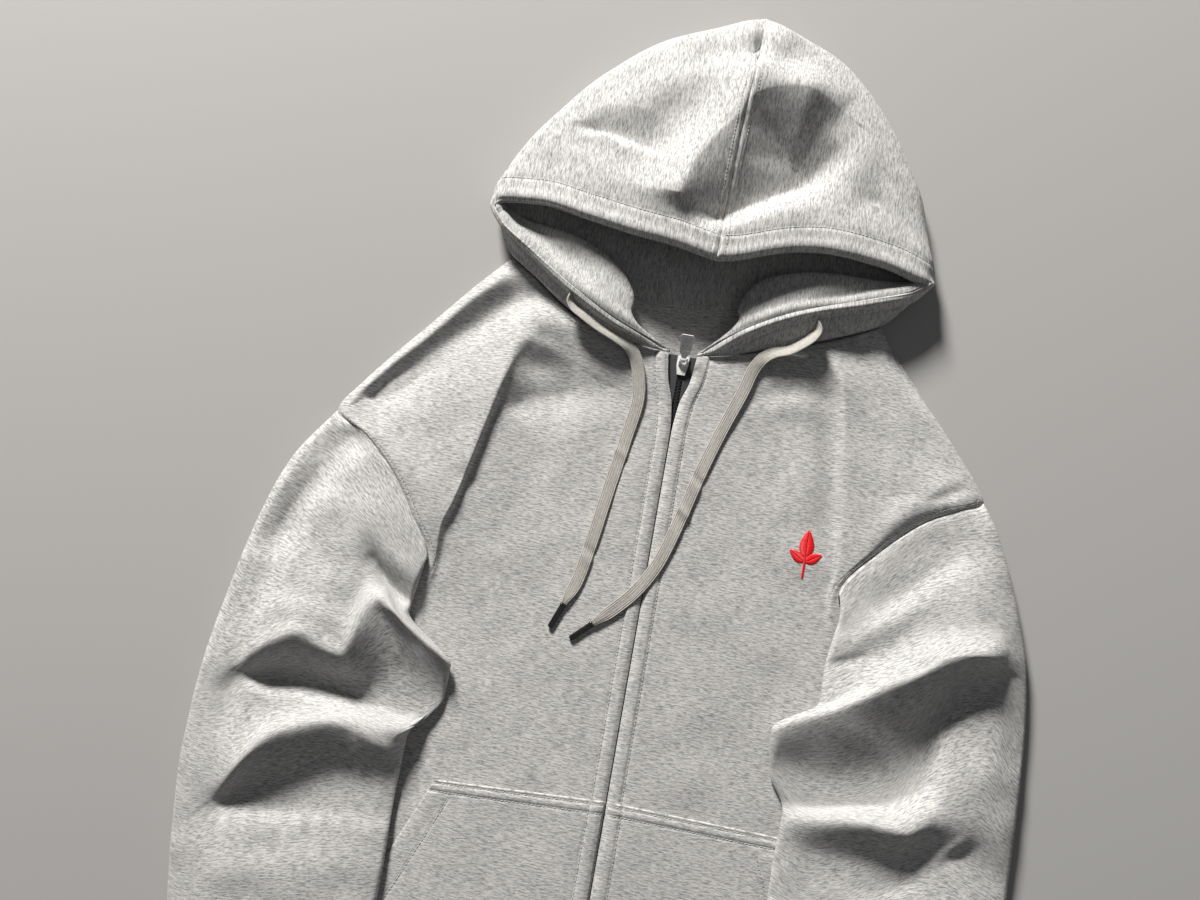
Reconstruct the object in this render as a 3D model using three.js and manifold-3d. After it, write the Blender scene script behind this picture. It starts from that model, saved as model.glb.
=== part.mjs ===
// Zip-front hooded sweatshirt lying face up on a flat surface.
// Millimetres. +X is the wearer's left, +Y points to the hood, +Z is up.
// Every cloth piece is a wall lofted through short tables, a row for each section or fold.
import * as THREE from 'three';

// ---------- driving dimensions ----------
const FLEECE = 2.0;          // body, sleeve and hood cloth
const LINING = 1.4;          // hood inner layer
const RIB = 2.6;             // cuffs and waistband
const POCKET = 1.8;          // pocket cloth
const SEAM = 0.3;            // space between joined pieces
const HEM_TOP = -549;        // where the body meets the waistband
const HEM_END = -610;        // free edge of the waistband
const BODY_HALF = 262;       // half width of the body at the underarm
const CORD_W = 10;           // flat drawcord
const CORD_T = 1.6;
const TIP_LEN = 20;          // cord tip
const TIP_W = 4.4;
const TAPE_W = 11;           // one zip tape
const TEETH_W = 4.2;         // closed zip teeth
const SLIDER_W = 9;
const SLIDER_L = 15;
const PULL_LEN = 21;
const PULL_TILT = 30;        // the pull tab stands at this angle, in degrees

// ---------- small maths ----------
const clamp = (x, a, b) => Math.min(b, Math.max(a, x));
const lerp = (a, b, t) => a + (b - a) * t;
const mix = (a, b, t) => a.map((c, i) => lerp(c, b[i], t));
const add = (a, b) => a.map((c, i) => c + b[i]);
const sub = (a, b) => a.map((c, i) => c - b[i]);
const mul = (a, s) => a.map((c) => c * s);
const dot = (a, b) => a.reduce((s, c, i) => s + c * b[i], 0);
const cross = (a, b) => [a[1] * b[2] - a[2] * b[1], a[2] * b[0] - a[0] * b[2], a[0] * b[1] - a[1] * b[0]];
const norm = (a) => { const l = Math.hypot(...a) || 1; return a.map((c) => c / l); };

// straight steps through rows of [at, value]
function ramp(rows, x) {
  if (x <= rows[0][0]) return rows[0][1];
  for (let i = 1; i < rows.length; i++) {
    if (x <= rows[i][0]) return lerp(rows[i - 1][1], rows[i][1], (x - rows[i - 1][0]) / (rows[i][0] - rows[i - 1][0]));
  }
  return rows[rows.length - 1][1];
}

// a curve that keeps each row's high and low points where they are
function easeRows(p0, p1, p2, p3, t) {
  return p1.map((_, i) => {
    const d0 = p1[i] - p0[i], d1 = p2[i] - p1[i], d2 = p3[i] - p2[i];
    const m1 = d0 * d1 > 0 ? 2 * d0 * d1 / (d0 + d1) : 0;
    const m2 = d1 * d2 > 0 ? 2 * d1 * d2 / (d1 + d2) : 0;
    const a = t * t, b = a * t;
    return (2 * b - 3 * a + 1) * p1[i] + (b - 2 * a + t) * m1 + (3 * a - 2 * b) * p2[i] + (b - a) * m2;
  });
}

// rows of points, with extra rows eased in between
function refine(rows, steps) {
  const out = [];
  for (let k = 0; k < rows.length - 1; k++) {
    const a = rows[Math.max(0, k - 1)], b = rows[k], c = rows[k + 1], d = rows[Math.min(rows.length - 1, k + 2)];
    for (let s = 0; s < steps; s++) {
      const t = s / steps;
      out.push(b.map((p, i) => (t === 0 ? p.slice() : easeRows(k ? a[i] : sub(mul(p, 2), c[i]), p, c[i], k + 2 < rows.length ? d[i] : sub(mul(c[i], 2), p), t))));
    }
  }
  out.push(rows[rows.length - 1].map((p) => p.slice()));
  return out;
}

// ---------- solids ----------
function solid(points, tris) {
  let vol = 0;
  for (const [a, b, c] of tris) vol += dot(points[a], cross(points[b], points[c])) / 6;
  const index = vol < 0 ? tris.map(([a, b, c]) => [a, c, b]) : tris;
  const g = new THREE.BufferGeometry();
  g.setAttribute('position', new THREE.Float32BufferAttribute(points.flat(), 3));
  g.setIndex(index.flat());
  g.computeVertexNormals();
  return g;
}

// direction of the cloth's outer side at each point of a grid
function gridNormals(grid, ring, side) {
  const R = grid.length, C = grid[0].length;
  return grid.map((row, r) => row.map((_, c) => {
    const left = ring ? row[(c + C - 1) % C] : row[Math.max(0, c - 1)];
    const right = ring ? row[(c + 1) % C] : row[Math.min(C - 1, c + 1)];
    const up = grid[Math.max(0, r - 1)][c], down = grid[Math.min(R - 1, r + 1)][c];
    return mul(norm(cross(sub(right, left), sub(down, up))), side);
  }));
}

// a wall of cloth between a grid and the same grid moved in by its thickness
function wall(grid, thick, side = 1, ring = false, seam = false) {
  const R = grid.length, C = grid[0].length;
  const n = gridNormals(grid, ring, side);
  // along a centre seam both halves keep their cut edges square to the seam
  if (seam) n.forEach((row, r) => row.forEach((v, c) => { if (r === R - 1 || c === C - 1) row[c] = norm([0, v[1], v[2]]); }));
  const inner = grid.map((row, r) => row.map((p, c) => add(p, mul(n[r][c], -thick))));
  return shell(grid, inner, ring);
}

function shell(outer, inner, ring) {
  const R = outer.length, C = outer[0].length;
  const points = [...outer.flat(), ...inner.flat()];
  const o = (r, c) => r * C + (c % C), i = (r, c) => R * C + o(r, c);
  const tris = [];
  const quad = (a, b, c, d) => tris.push([a, b, c], [a, c, d]);
  const span = ring ? C : C - 1;
  for (let r = 0; r < R - 1; r++) {
    for (let c = 0; c < span; c++) {
      quad(o(r, c), o(r + 1, c), o(r + 1, c + 1), o(r, c + 1));
      quad(i(r, c), i(r, c + 1), i(r + 1, c + 1), i(r + 1, c));
    }
  }
  for (let c = 0; c < span; c++) {
    quad(o(0, c), o(0, c + 1), i(0, c + 1), i(0, c));
    quad(o(R - 1, c), i(R - 1, c), i(R - 1, c + 1), o(R - 1, c + 1));
  }
  if (!ring) {
    for (let r = 0; r < R - 1; r++) {
      quad(o(r, 0), i(r, 0), i(r + 1, 0), o(r + 1, 0));
      quad(o(r, C - 1), o(r + 1, C - 1), i(r + 1, C - 1), i(r, C - 1));
    }
  }
  return solid(points, tris);
}

// a bar lofted through closed sections of equal length, capped at both ends
function bar(sections) {
  const S = sections.length, C = sections[0].length;
  const points = sections.flat();
  const tris = [];
  for (let s = 0; s < S - 1; s++) {
    for (let c = 0; c < C; c++) {
      const a = s * C + c, b = s * C + (c + 1) % C;
      tris.push([a, b, b + C], [a, b + C, a + C]);
    }
  }
  for (let c = 1; c < C - 1; c++) {
    tris.push([0, c + 1, c]);
    const e = (S - 1) * C;
    tris.push([e, e + c, e + c + 1]);
  }
  return solid(points, tris);
}

// a flat outline lifted to a plate
function plate(outline, z0, z1) {
  const g = new THREE.ExtrudeGeometry(new THREE.Shape(outline.map(([x, y]) => new THREE.Vector2(x, y))), { depth: z1 - z0, bevelEnabled: false });
  g.translate(0, 0, z0);
  return g;
}

// ---------- heights shared by the layers ----------
// top of the front panel away from its folds, by distance from the zip
const FRONT_TOP = [[0, 10.3], [45, 10], [101, 9], [160, 7], [195, 5], [226, 4.6], [250, 4.5], [262, 4.4]];
// what the underside of a sleeve rests on, by distance from the zip: the front panel, then the surface
const SLEEVE_REST = [[60, 11], [100, 10.1], [135, 9.3], [160, 8.3], [195, 6.5], [226, 6.1], [268, 6], [296, 0]];
const CUFF_REST = [[160, 10], [200, 8.3], [236, 7.6], [257, 7.4], [285, 0]];
const POCKET_RISE = [[-360, 2.4], [-318, 0]];
const BAND_RISE = [[-545, 2.4], [-520, 0]];

function restHeight(x, y, corner) {
  const a = Math.abs(x);
  const low = ramp(SLEEVE_REST, a);
  const pocket = ramp(POCKET_RISE, y) * ramp([[205, 1], [235, 0]], a);
  const band = ramp(BAND_RISE, y) * ramp([[262, 1], [288, 0]], a);
  const d = Math.hypot(x - corner[0], y - corner[1]);
  return low + Math.max(pocket, band) + 6 * Math.max(0, 1 - d / 42);
}

// ---------- front panels ----------
// columns: [edge, edge ridge, valley, crest, foot of the fold, chest, placket, zip edge], each [x, y, z of the outer side]
const FRONT_RIGHT = [
  [[-146, 50, 4.6], [-133, 41, 9], [-120, 32.5, 11], [-103, 19, 13], [-85, 8, 14], [-60, 0, 13], [-35, -4, 12], [-12.5, -6, 10.8]],
  [[-172, 21, 4.4], [-163, 17, 9.5], [-146, 8, 10], [-121, -3, 16.5], [-104, -9, 15], [-72, -17, 13.5], [-38, -21, 12], [-9.5, -24, 11]],
  [[-200, -14, 4.4], [-191, -17, 9.5], [-170, -18, 8.5], [-131, -30, 17.5], [-120, -33, 12.5], [-80, -44, 10], [-40, -46, 10.4], [-3.4, -44, 10.5]],
  [[-240, -64, 4.4], [-231, -66, 10], [-205, -60, 9], [-138, -66, 18.5], [-130, -68, 10], [-85, -72, 9.3], [-40, -72, 10], [-0.9, -70, 10.3]],
  [[-257, -92, 4.6], [-246, -94, 10.5], [-222, -90, 9.5], [-144, -99, 18.5], [-137, -101, 9.5], [-90, -104, 9], [-42, -104, 10], [-0.8, -102, 10.3]],
  [[-231, -108, 13], [-222, -110, 14], [-203, -112, 14], [-149, -124, 18], [-142, -126, 9.4], [-92, -130, 9], [-43, -130, 10], [-0.8, -130, 10.3]],
  [[-205, -131, 14.5], [-198, -133, 15.5], [-186, -137, 16.5], [-154, -147, 17], [-147, -149, 9.3], [-94, -155, 9], [-43, -155, 10], [-0.8, -155, 10.3]],
  [[-182, -162, 14], [-178, -163.5, 14.5], [-172, -165.5, 15], [-160, -170, 15.5], [-152, -172, 9.3], [-95, -180, 9], [-44, -180, 10], [-0.8, -180, 10.3]],
  [[-164, -193, 12], [-162.6, -193.5, 12], [-161, -194, 12], [-159, -194.8, 11.8], [-154, -196.5, 9.3], [-96, -202, 9], [-44, -202, 10], [-0.8, -202, 10.3]],
  [[-184, -226, 6.5], [-180, -227, 6.6], [-174, -229, 6.8], [-166, -231, 7.2], [-156, -233, 7.6], [-98, -238, 9], [-45, -238, 10], [-0.8, -238, 10.3]],
  [[-212, -266, 4.7], [-205, -267, 4.9], [-194, -268, 5.2], [-180, -270, 5.8], [-160, -272, 7], [-100, -276, 9], [-45, -276, 10], [-0.8, -276, 10.3]],
];
const FRONT_LEFT = [
  [[147, 45, 4.6], [136, 38, 9], [124, 32, 11], [108, 25, 14], [84, 16, 14], [60, 8, 13], [35, 0, 12], [10.5, -5, 10.8]],
  [[162, 20, 4.4], [153, 16, 9.5], [140, 12, 10.5], [119, 6, 16], [110, 3, 13], [75, -10, 12.5], [38, -19, 11.5], [8.5, -24, 11]],
  [[180, 0, 4.4], [170, -4, 10], [155, -9, 11], [126, -20, 17], [117, -22, 11], [80, -36, 10], [40, -43, 10.3], [2.8, -44, 10.5]],
  [[205, -26, 4.4], [195, -29, 10], [176, -34, 11], [130, -48, 17], [121.5, -50, 9.6], [84, -62, 9.2], [42, -66, 10], [0.9, -68, 10.3]],
  [[243.5, -76, 4.6], [232, -75, 11], [212, -76, 14], [134, -84, 16.5], [126, -86, 9.3], [88, -92, 9], [43, -96, 10], [0.8, -98, 10.3]],
  [[223, -87, 12.5], [215, -86, 14.5], [196, -88, 16], [136, -100, 16], [128, -102, 9.3], [90, -108, 9], [43, -112, 10], [0.8, -114, 10.3]],
  [[201, -99, 12.5], [194, -99, 14.5], [178, -103, 16.5], [139, -118, 15.5], [130.5, -120, 9.3], [91, -126, 9], [43, -129, 10], [0.8, -130, 10.3]],
  [[172, -125, 13], [167, -126, 14.5], [160, -130, 15.5], [142, -139, 15], [134, -141, 9.3], [93, -146, 9], [44, -149, 10], [0.8, -150, 10.3]],
  [[144, -164.5, 12], [142.6, -165, 12], [141, -165.5, 12], [139, -166.2, 11.8], [134, -167.5, 9.3], [94, -172, 9], [44, -175, 10], [0.8, -177, 10.3]],
  [[166, -205, 6.8], [162, -206, 7], [156, -207, 7.2], [148, -208, 7.6], [137, -209, 8], [96, -212, 9], [44, -214, 10], [0.8, -216, 10.3]],
  [[196, -254, 4.9], [190, -255, 5.2], [180, -256, 5.7], [168, -258, 6.4], [142, -260, 7.6], [98, -262, 9], [44, -264, 10], [0.8, -266, 10.3]],
];
// below the underarm the panel lies flat: columns at these distances from the zip
const FLAT_COLUMNS = [BODY_HALF, 250, 226, 195, 160, 101, 45, 0.8];
const FLAT_ROWS = [-322, -400, -480, HEM_TOP];

function frontRows(table, sign) {
  const flat = FLAT_ROWS.map((y, k) => FLAT_COLUMNS.map((x, c) => [sign * (c ? x : x + [0, 3, 3, -6][k]), y, ramp(FRONT_TOP, x)]));
  return [...table, ...flat];
}

// ---------- sleeves ----------
// columns run from the outer fold to the inner fold; z is the top layer before the folds are rounded
const SLEEVE_RIGHT = [
  [[-257.5, -92.6, 7.5], [-244.5, -100.6, 12.5], [-231.5, -108.6, 15], [-218.5, -120, 16], [-205.5, -131.6, 16.5], [-194, -147.2, 17], [-182.6, -162.7, 17.5], [-173.6, -178.2, 18], [-164.6, -193.8, 18]],
  [[-285, -138, 10], [-272, -141, 15], [-254, -149, 20], [-238, -158, 22], [-222, -168, 22.5], [-208, -178, 23], [-194, -189, 23], [-180, -200, 21.5], [-167, -212, 18]],
  [[-301, -190, 10], [-287, -194, 16], [-263, -199, 23], [-240, -202, 25.5], [-218, -202, 25], [-203, -207, 18.5], [-192, -215, 14], [-181, -224, 13], [-169.5, -234, 13]],
  [[-317, -290, 10], [-302, -293, 15], [-276, -283, 26], [-242, -264, 33], [-212, -266, 31], [-197, -240, 29], [-187, -228, 26], [-164, -247, 25], [-131, -268, 19]],
  [[-319, -325, 10], [-303, -322, 13], [-269, -302, 18], [-237, -298, 17.5], [-208, -299, 17], [-181, -302, 16.5], [-158, -305, 16], [-143, -303, 15.5], [-132, -293, 15]],
  [[-319, -360, 10], [-303, -362, 14.5], [-277, -362, 22], [-254, -342, 29], [-231, -330, 30], [-203, -322, 30], [-180, -325, 28], [-164, -329, 24], [-153, -325, 17]],
  [[-315, -405, 10], [-303, -406, 13], [-285, -399, 15], [-265, -387, 14.8], [-238, -384, 14.8], [-210, -378, 14.8], [-190, -373, 15], [-170, -371, 15.6], [-153.5, -368, 15.4]],
  [[-309, -448, 10], [-296, -450, 14], [-276, -446, 19], [-256, -441, 21], [-234, -437, 21], [-212, -433, 20.5], [-190, -429, 20], [-170, -425, 18.5], [-151.5, -422, 16]],
  [[-300, -495, 10], [-288, -498, 14.5], [-270, -497, 18], [-250, -495, 18.5], [-230, -493, 19], [-210, -491, 19], [-190, -489, 18.5], [-170, -486, 17.5], [-153, -482, 15.6]],
  [[-292, -535, 10], [-281, -537, 13.5], [-264, -536, 15.5], [-245, -534, 16], [-226, -532, 16.5], [-207, -531, 16.5], [-189, -529, 16.5], [-172, -527, 16.4], [-158, -524, 15.6]],
  [[-287, -565, 10], [-276, -567, 15], [-260, -567, 20], [-243, -566, 22], [-226, -565, 22.5], [-209, -564, 22], [-193, -563, 21], [-178, -562, 19], [-165, -560, 16.5]],
  [[-278, -592, 9.5], [-268, -592, 14], [-256, -592, 17], [-243, -592, 18.5], [-230, -592, 19], [-217, -592, 19], [-204, -592, 18.5], [-192, -592, 17.5], [-181, -592, 15.5]],
];
// armhole line of the under layer: shoulder, back armhole, underarm, hidden front armhole
const UNDER_RIGHT = [[-257.5, -92.6, 0.3], [-248.8, -165, 0.3], [-250.4, -245, 1.5], [-263.4, -323.4, 6.4], [-237.4, -294.6, 6.9], [-212.4, -266.5, 7], [-198.5, -246.5, 7.6], [-184.4, -226.8, 8.8], [-164.6, -193.8, 12.9]];
const SLEEVE_LEFT = [
  [[244, -76.6, 7.5], [233.5, -82, 12], [223.3, -87.6, 14.5], [212.2, -93.6, 15], [201.3, -99.6, 15.3], [186.8, -112.5, 15.8], [172.5, -125.6, 16.3], [158.5, -145.2, 17.3], [144.6, -165.3, 17.8]],
  [[256, -99, 10], [246, -101, 12], [235, -104, 13], [222, -108, 13], [209, -113, 13], [194, -126, 13.5], [180, -139, 14.5], [165, -158, 16], [146.5, -180, 16.5]],
  [[276, -146, 10], [266, -147, 17], [252, -148, 22], [237, -152, 24], [222, -157, 24], [207, -163, 23.5], [190, -173, 23], [170, -185, 21.5], [144, -199, 17]],
  [[283, -168, 10], [274, -167, 17], [259, -166, 23], [242, -170, 26], [225, -177, 26], [203, -191, 24], [180, -204, 19.5], [159, -211, 17.5], [141.5, -222, 15]],
  [[287, -180, 10], [277, -178, 17], [260, -176, 25], [243, -181, 28], [226, -189, 29], [203, -206, 27.5], [180, -218, 24.5], [160, -231, 15.5], [141.5, -244, 14]],
  [[290, -193, 10], [279, -189, 17.5], [261, -187, 27], [243, -190, 31], [226, -200, 32], [204, -213, 32], [181, -228, 30], [150, -248, 26], [109.5, -270, 19]],
  [[296, -252, 10], [286, -245, 13], [268, -226, 15.5], [240, -236, 15.5], [222, -262, 16], [205, -294, 16], [172, -311, 16], [140, -315, 16], [114, -302, 15.5]],
  [[297, -318, 10], [285, -312, 16], [262, -300, 22], [240, -305, 25], [224, -310, 26.5], [200, -322, 26], [172, -321, 26], [147, -328, 23], [127, -327, 16.5]],
  [[297, -352, 10], [287, -349, 13], [268, -343, 14.8], [248, -340, 14.8], [230, -342, 14.8], [205, -356, 15], [178, -369, 15], [150, -376, 16], [125.5, -366, 16]],
  [[295, -405, 10], [284, -407, 15], [266, -408, 20], [246, -409, 21.5], [226, -410, 21], [204, -411, 20.5], [180, -411, 20], [152, -412, 18.5], [126, -412, 16.5]],
  [[291, -462, 10], [281, -463, 14.5], [264, -465, 17.5], [245, -467, 18], [226, -468, 18.5], [204, -469, 18.5], [180, -470, 18.5], [153, -471, 17.5], [128, -472, 16.5]],
  [[285, -520, 10], [275, -521, 13.5], [259, -522, 15.5], [241, -523, 16], [222, -524, 16.5], [202, -525, 16.5], [180, -526, 17], [156, -527, 17], [134, -528, 16.5]],
  [[280, -558, 10], [270, -559, 15], [254, -560, 20], [237, -561, 22], [219, -562, 22.5], [201, -563, 22], [182, -564, 21], [161, -565, 19.5], [142, -566, 17.5]],
  [[270, -588, 9.5], [260, -589, 14], [247, -590, 17], [234, -590.5, 18.5], [221, -591, 19], [208, -591.5, 19], [195, -592, 18.5], [183, -592, 17.5], [172, -592, 15.5]],
];
const UNDER_LEFT = [[244, -76.6, 0.3], [241.8, -155, 0.3], [243.4, -240, 1.5], [263.4, -323.4, 6.4], [229.5, -288.6, 7], [196.4, -254.6, 7.4], [181.4, -230.2, 7.8], [166.4, -205.6, 9], [144.6, -165.3, 12.9]];

const FOLD_STEPS = [0.28, 0.72];   // where extra points round a fold, as a part of its width

// one section of a flattened tube: top layer out and back along the under layer
function flatTube(top, under) {
  const width = (p, e) => Math.hypot(p[0] - e[0], p[1] - e[1]);
  const layer = (row, other, dir) => {
    const n = row.length;
    return row.flatMap((p, c) => {
      if (c === 0 || c === n - 1) return [];
      const out = [p];
      if (c === 1) out.unshift(fold(row[0], p, other[0], dir));
      if (c === n - 2) out.push(fold(row[n - 1], p, other[n - 1], dir));
      return out;
    });
  };
  const fold = (edge, inside, opposite, dir) => {
    const half = Math.abs(edge[2] - opposite[2]) / 2, mid = (edge[2] + opposite[2]) / 2;
    const reach = clamp(half * 0.8, 2.2, 7), w = width(edge, inside) || 1;
    const t = Math.min(0.5, 0.4 * reach / w);
    return [lerp(edge[0], inside[0], t), lerp(edge[1], inside[1], t), mid + dir * half * 0.86];
  };
  const nose = (c) => [top[c][0], top[c][1], (top[c][2] + under[c][2]) / 2];
  const n = top.length;
  return [nose(0), ...layer(top, under, 1), nose(n - 1), ...layer(under, top, -1).reverse()];
}

// the under layer: its armhole line eased into the fold lines of the top layer
function underRows(top, line, corner, join) {
  return top.map((row, r) => {
    if (r === 0) return line.map((p) => p.slice());
    const last = row.length - 1, to = top[join];
    const part = (c, from) => (from[1] - row[c][1]) / (from[1] - to[c][1]);
    const w = clamp((part(0, line[0]) + part(last, line[last])) / 2, 0, 1);
    return row.map((p, c) => {
      const u = c / last;
      if (r >= join) return [p[0], p[1], restHeight(p[0], p[1], corner)];
      // behind the armhole the cloth goes out to the fold before it turns down
      const go = c < 3 ? [Math.pow(w, 0.55), Math.pow(w, 1.3)] : [w, w];
      const [x, y] = [0, 1].map((k) => lerp(line[c][k], to[c][k], go[k])
        + (1 - u) * (row[0][k] - lerp(line[0][k], to[0][k], go[k]))
        + u * (row[last][k] - lerp(line[last][k], to[last][k], go[k])));
      return [x, y, restHeight(x, y, corner)];
    });
  });
}

function sleeve(table, line, side, join) {
  const corner = table[0][table[0].length - 1];
  const top = refine(table, 2), under = refine(underRows(table, line, corner, join), 2);
  return wall(top.map((row, r) => flatTube(row, under[r])), FLEECE, side, true);
}

// rows of a cuff: [along, outer fold x, inner fold x, top height, how much of the rest height is left]
function cuff(rows, sign) {
  const ring = rows.map(([y, xo, xi, z, drop]) => {
    const at = [0, 0.12, 0.3, 0.5, 0.7, 0.88, 1];
    const rise = [0.5, 0.78, 0.96, 1, 0.99, 0.95, 0.84];
    const top = at.map((t, c) => [sign * lerp(xo, xi, t), y, z * rise[c]]);
    const under = at.map((t) => [sign * lerp(xo, xi, t), y, ramp(CUFF_REST, lerp(xo, xi, t)) * drop]);
    return flatTube(top, under);
  });
  return wall(ring, RIB, sign, true);
}

// ---------- hood ----------
// a row is a line round the hood from the neck seam to the centre seam:
// [neck, three lower points, fold low, fold, fold high, three upper points, centre seam]
const HOOD_AT = [0, 2, 4, 7, 8, 9, 10, 11, 12, 13];
const HOOD_RIGHT = [
  [[-13.2, -5.6, 13], [-53, 8, 26], [-92, 27, 31], [-130, 51, 29], [-157, 70, 26], [-166, 83, 24], [-160, 88, 26], [-130, 89, 32], [-88, 81, 38], [-41, 73, 42], [10, 71, 43]],
  [[-60, 0.6, 13], [-80, 12, 21], [-105, 31, 24], [-136, 55, 22], [-160, 74, 18], [-169, 89, 15], [-163, 95, 24], [-131, 101, 31], [-88, 95, 38], [-41, 88, 43], [10.5, 86, 44.5]],
  [[-103, 19.6, 13], [-116, 31, 17], [-131, 45, 17], [-147, 60, 15], [-162, 78, 11.5], [-170, 95, 10], [-165, 104, 23], [-131, 114, 30], [-88, 111, 37], [-40, 104, 43], [11, 102, 45]],
  [[-147, 50.6, 5], [-152, 59, 5], [-157, 68, 4.5], [-161, 77, 4], [-165, 88, 3], [-167, 103, 9], [-161, 116, 20], [-129, 131, 29], [-87, 129, 35], [-39, 124, 38], [11.5, 122, 41]],
  [[-118, 53.5, 0], [-130, 70, 0], [-140, 85, 0], [-149, 100, 0], [-156, 112, 1.2], [-161, 122, 9], [-154, 131, 19.5], [-123, 145, 28], [-84, 145, 32], [-37, 141, 33], [12, 140, 37]],
  [[-90, 49.5, 0], [-103, 73, 0], [-117, 98, 0], [-131, 122, 0], [-144, 141, 1.2], [-149, 146, 9], [-142, 152, 19.5], [-114, 160, 27], [-78, 161, 30], [-35, 159, 28], [12.5, 158, 32]],
  [[-66, 43.5, 0], [-79, 76, 0], [-95, 110, 0], [-112, 144, 0], [-126, 168, 1.2], [-132, 171, 9], [-125, 175, 19.5], [-101, 178, 26], [-70, 178, 30], [-32, 177, 26], [13, 177, 28]],
  [[-45, 37.5, 0], [-54, 80, 0], [-66, 125, 0], [-80, 168, 0], [-96, 206, 1.2], [-102, 209, 9], [-96, 210, 18.5], [-80, 204, 26], [-55, 200, 30], [-24, 198, 28], [14, 197, 29]],
  [[-34, 34.5, 0], [-40, 85, 0], [-47, 135, 0], [-52, 185, 0], [-58, 237, 1.2], [-61, 245, 9], [-56, 240, 17.5], [-45, 230, 24], [-28, 223, 28], [-8, 219, 29.5], [15, 217, 30]],
  [[-25, 33.5, 0], [-26, 90, 0], [-14, 145, 0], [-1, 200, 0], [14, 270, 1.2], [18, 279, 9], [18, 273, 17], [18, 267, 21], [17.5, 260, 25], [17, 250, 27.5], [16, 238, 29.5]],
];
const HOOD_LEFT = [
  [[11.2, -4.4, 13], [44, 21, 25], [84, 41, 30], [130, 57, 29], [162, 69, 26], [175, 79, 24], [165, 79, 27], [137, 84, 33], [98, 86, 38], [52, 80, 42], [10.6, 71, 43]],
  [[60, 8.6, 13], [85, 24, 20], [112, 39, 23], [143, 54, 21], [168, 69, 17], [180, 84, 14], [171, 88, 24], [140, 96, 32], [99, 99, 38], [53, 94, 43], [11.1, 86, 44.5]],
  [[108, 25.6, 13], [124, 36, 17], [140, 46, 17], [156, 57, 15], [171, 72, 11], [181, 90, 10], [173, 98, 23], [141, 110, 31], [100, 114, 36], [54, 110, 42], [11.6, 102, 45]],
  [[148, 45.6, 5], [154, 53, 5], [160, 61, 4.5], [166, 70, 4], [172, 83, 3], [177, 100, 9], [170, 112, 20], [139, 127, 28], [99, 131, 31], [54, 129, 36], [12.1, 122, 41]],
  [[118, 50.5, 0], [133, 66, 0], [145, 80, 0], [156, 94, 0], [166, 110, 1.2], [171, 121, 9], [163, 130, 19.5], [134, 143, 27], [96, 147, 29], [52, 146, 32], [12.6, 140, 37]],
  [[86, 47.5, 0], [105, 72, 0], [122, 95, 0], [140, 118, 0], [157, 141, 1.2], [164, 146, 9], [156, 152, 19.5], [126, 160, 26], [90, 163, 29], [49, 162, 28], [13.1, 158, 32]],
  [[52, 42.5, 0], [76, 77, 0], [99, 110, 0], [122, 142, 0], [143, 171, 1.2], [150, 174, 9], [142, 178, 18.5], [114, 181, 26], [82, 181, 30], [46, 179, 27], [13.6, 177, 28]],
  [[17, 37.5, 0], [42, 82, 0], [67, 125, 0], [92, 165, 0], [117, 206, 1.2], [125, 213, 9], [117, 212, 18.5], [95, 206, 26], [70, 202, 30], [42, 199, 28], [14.6, 197, 29]],
  [[-5, 34.5, 0], [16, 86, 0], [36, 137, 0], [55, 187, 0], [74, 245, 1.2], [84, 253, 9], [78, 248, 17.5], [66, 236, 24], [51, 227, 28], [33, 221, 29.5], [15.6, 217, 30]],
  [[-24.4, 33.5, 0], [-25.4, 90, 0], [-13.4, 145, 0], [-0.4, 200, 0], [14.6, 270, 1.2], [18.6, 279, 9], [18.6, 273, 17], [18.6, 267, 21], [18.1, 260, 25], [17.6, 250, 27.5], [16.6, 238, 29.5]],
];
// where the inner layer leaves the outer one round the mouth, for the columns from the neck to the fold
const CHEEK_RIGHT = {
  2: [[-58, 5, 10.6], [-46, 27, 17], [-60, 51, 17.5], [-96, 70, 20], [-146, 82, 17], [-162, 90, 15]],
  4: [[-101, 23, 9.6], [-97, 36, 9.2], [-108, 52, 9], [-126, 68, 9], [-150, 83, 8.6], [-164, 96, 10.5]],
  7: [[-134, 58, 9.4], [-139, 66.5, 9], [-145.5, 74, 8.2], [-151.5, 82, 7.4], [-159.5, 92, 6.8], [-163, 103, 9.8]],
  8: [[-112, 58, 6.6], [-124, 74, 5.6], [-136, 88, 4.2], [-146.5, 101.5, 3]],
};
const CHEEK_LEFT = {
  2: [[58, 12.5, 10.6], [36, 36, 15.5], [48, 60, 17], [92, 74, 20], [152, 78, 16.5], [173, 85, 14.5]],
  4: [[106, 29, 9.6], [100, 43, 9.2], [112, 56, 9], [134, 66, 9], [158, 77, 8.6], [174, 91, 10.5]],
  7: [[135, 55, 9.4], [142, 61.5, 9], [149.5, 68.5, 8.2], [156.5, 76, 7.4], [165.5, 87, 6.8], [173, 100, 9.8]],
  8: [[112, 55.5, 6.6], [127, 69.5, 5.6], [140.5, 83.5, 4.2], [153, 96, 3]],
};

function hoodRows(table) {
  const out = [];
  for (let k = 0; k < table.length - 1; k++) {
    const steps = HOOD_AT[k + 1] - HOOD_AT[k];
    const pick = (j, p, q) => (j < 0 || j >= table.length ? (c) => sub(mul(p[c], 2), q[c]) : (c) => table[j][c]);
    const before = pick(k - 1, table[k], table[k + 1]), after = pick(k + 2, table[k + 1], table[k]);
    for (let s = 0; s < steps; s++) out.push(table[k].map((p, c) => (s ? easeRows(before(c), p, table[k + 1][c], after(c), s / steps) : p.slice())));
  }
  out.push(table[table.length - 1].map((p) => p.slice()));
  return out;
}

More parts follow.
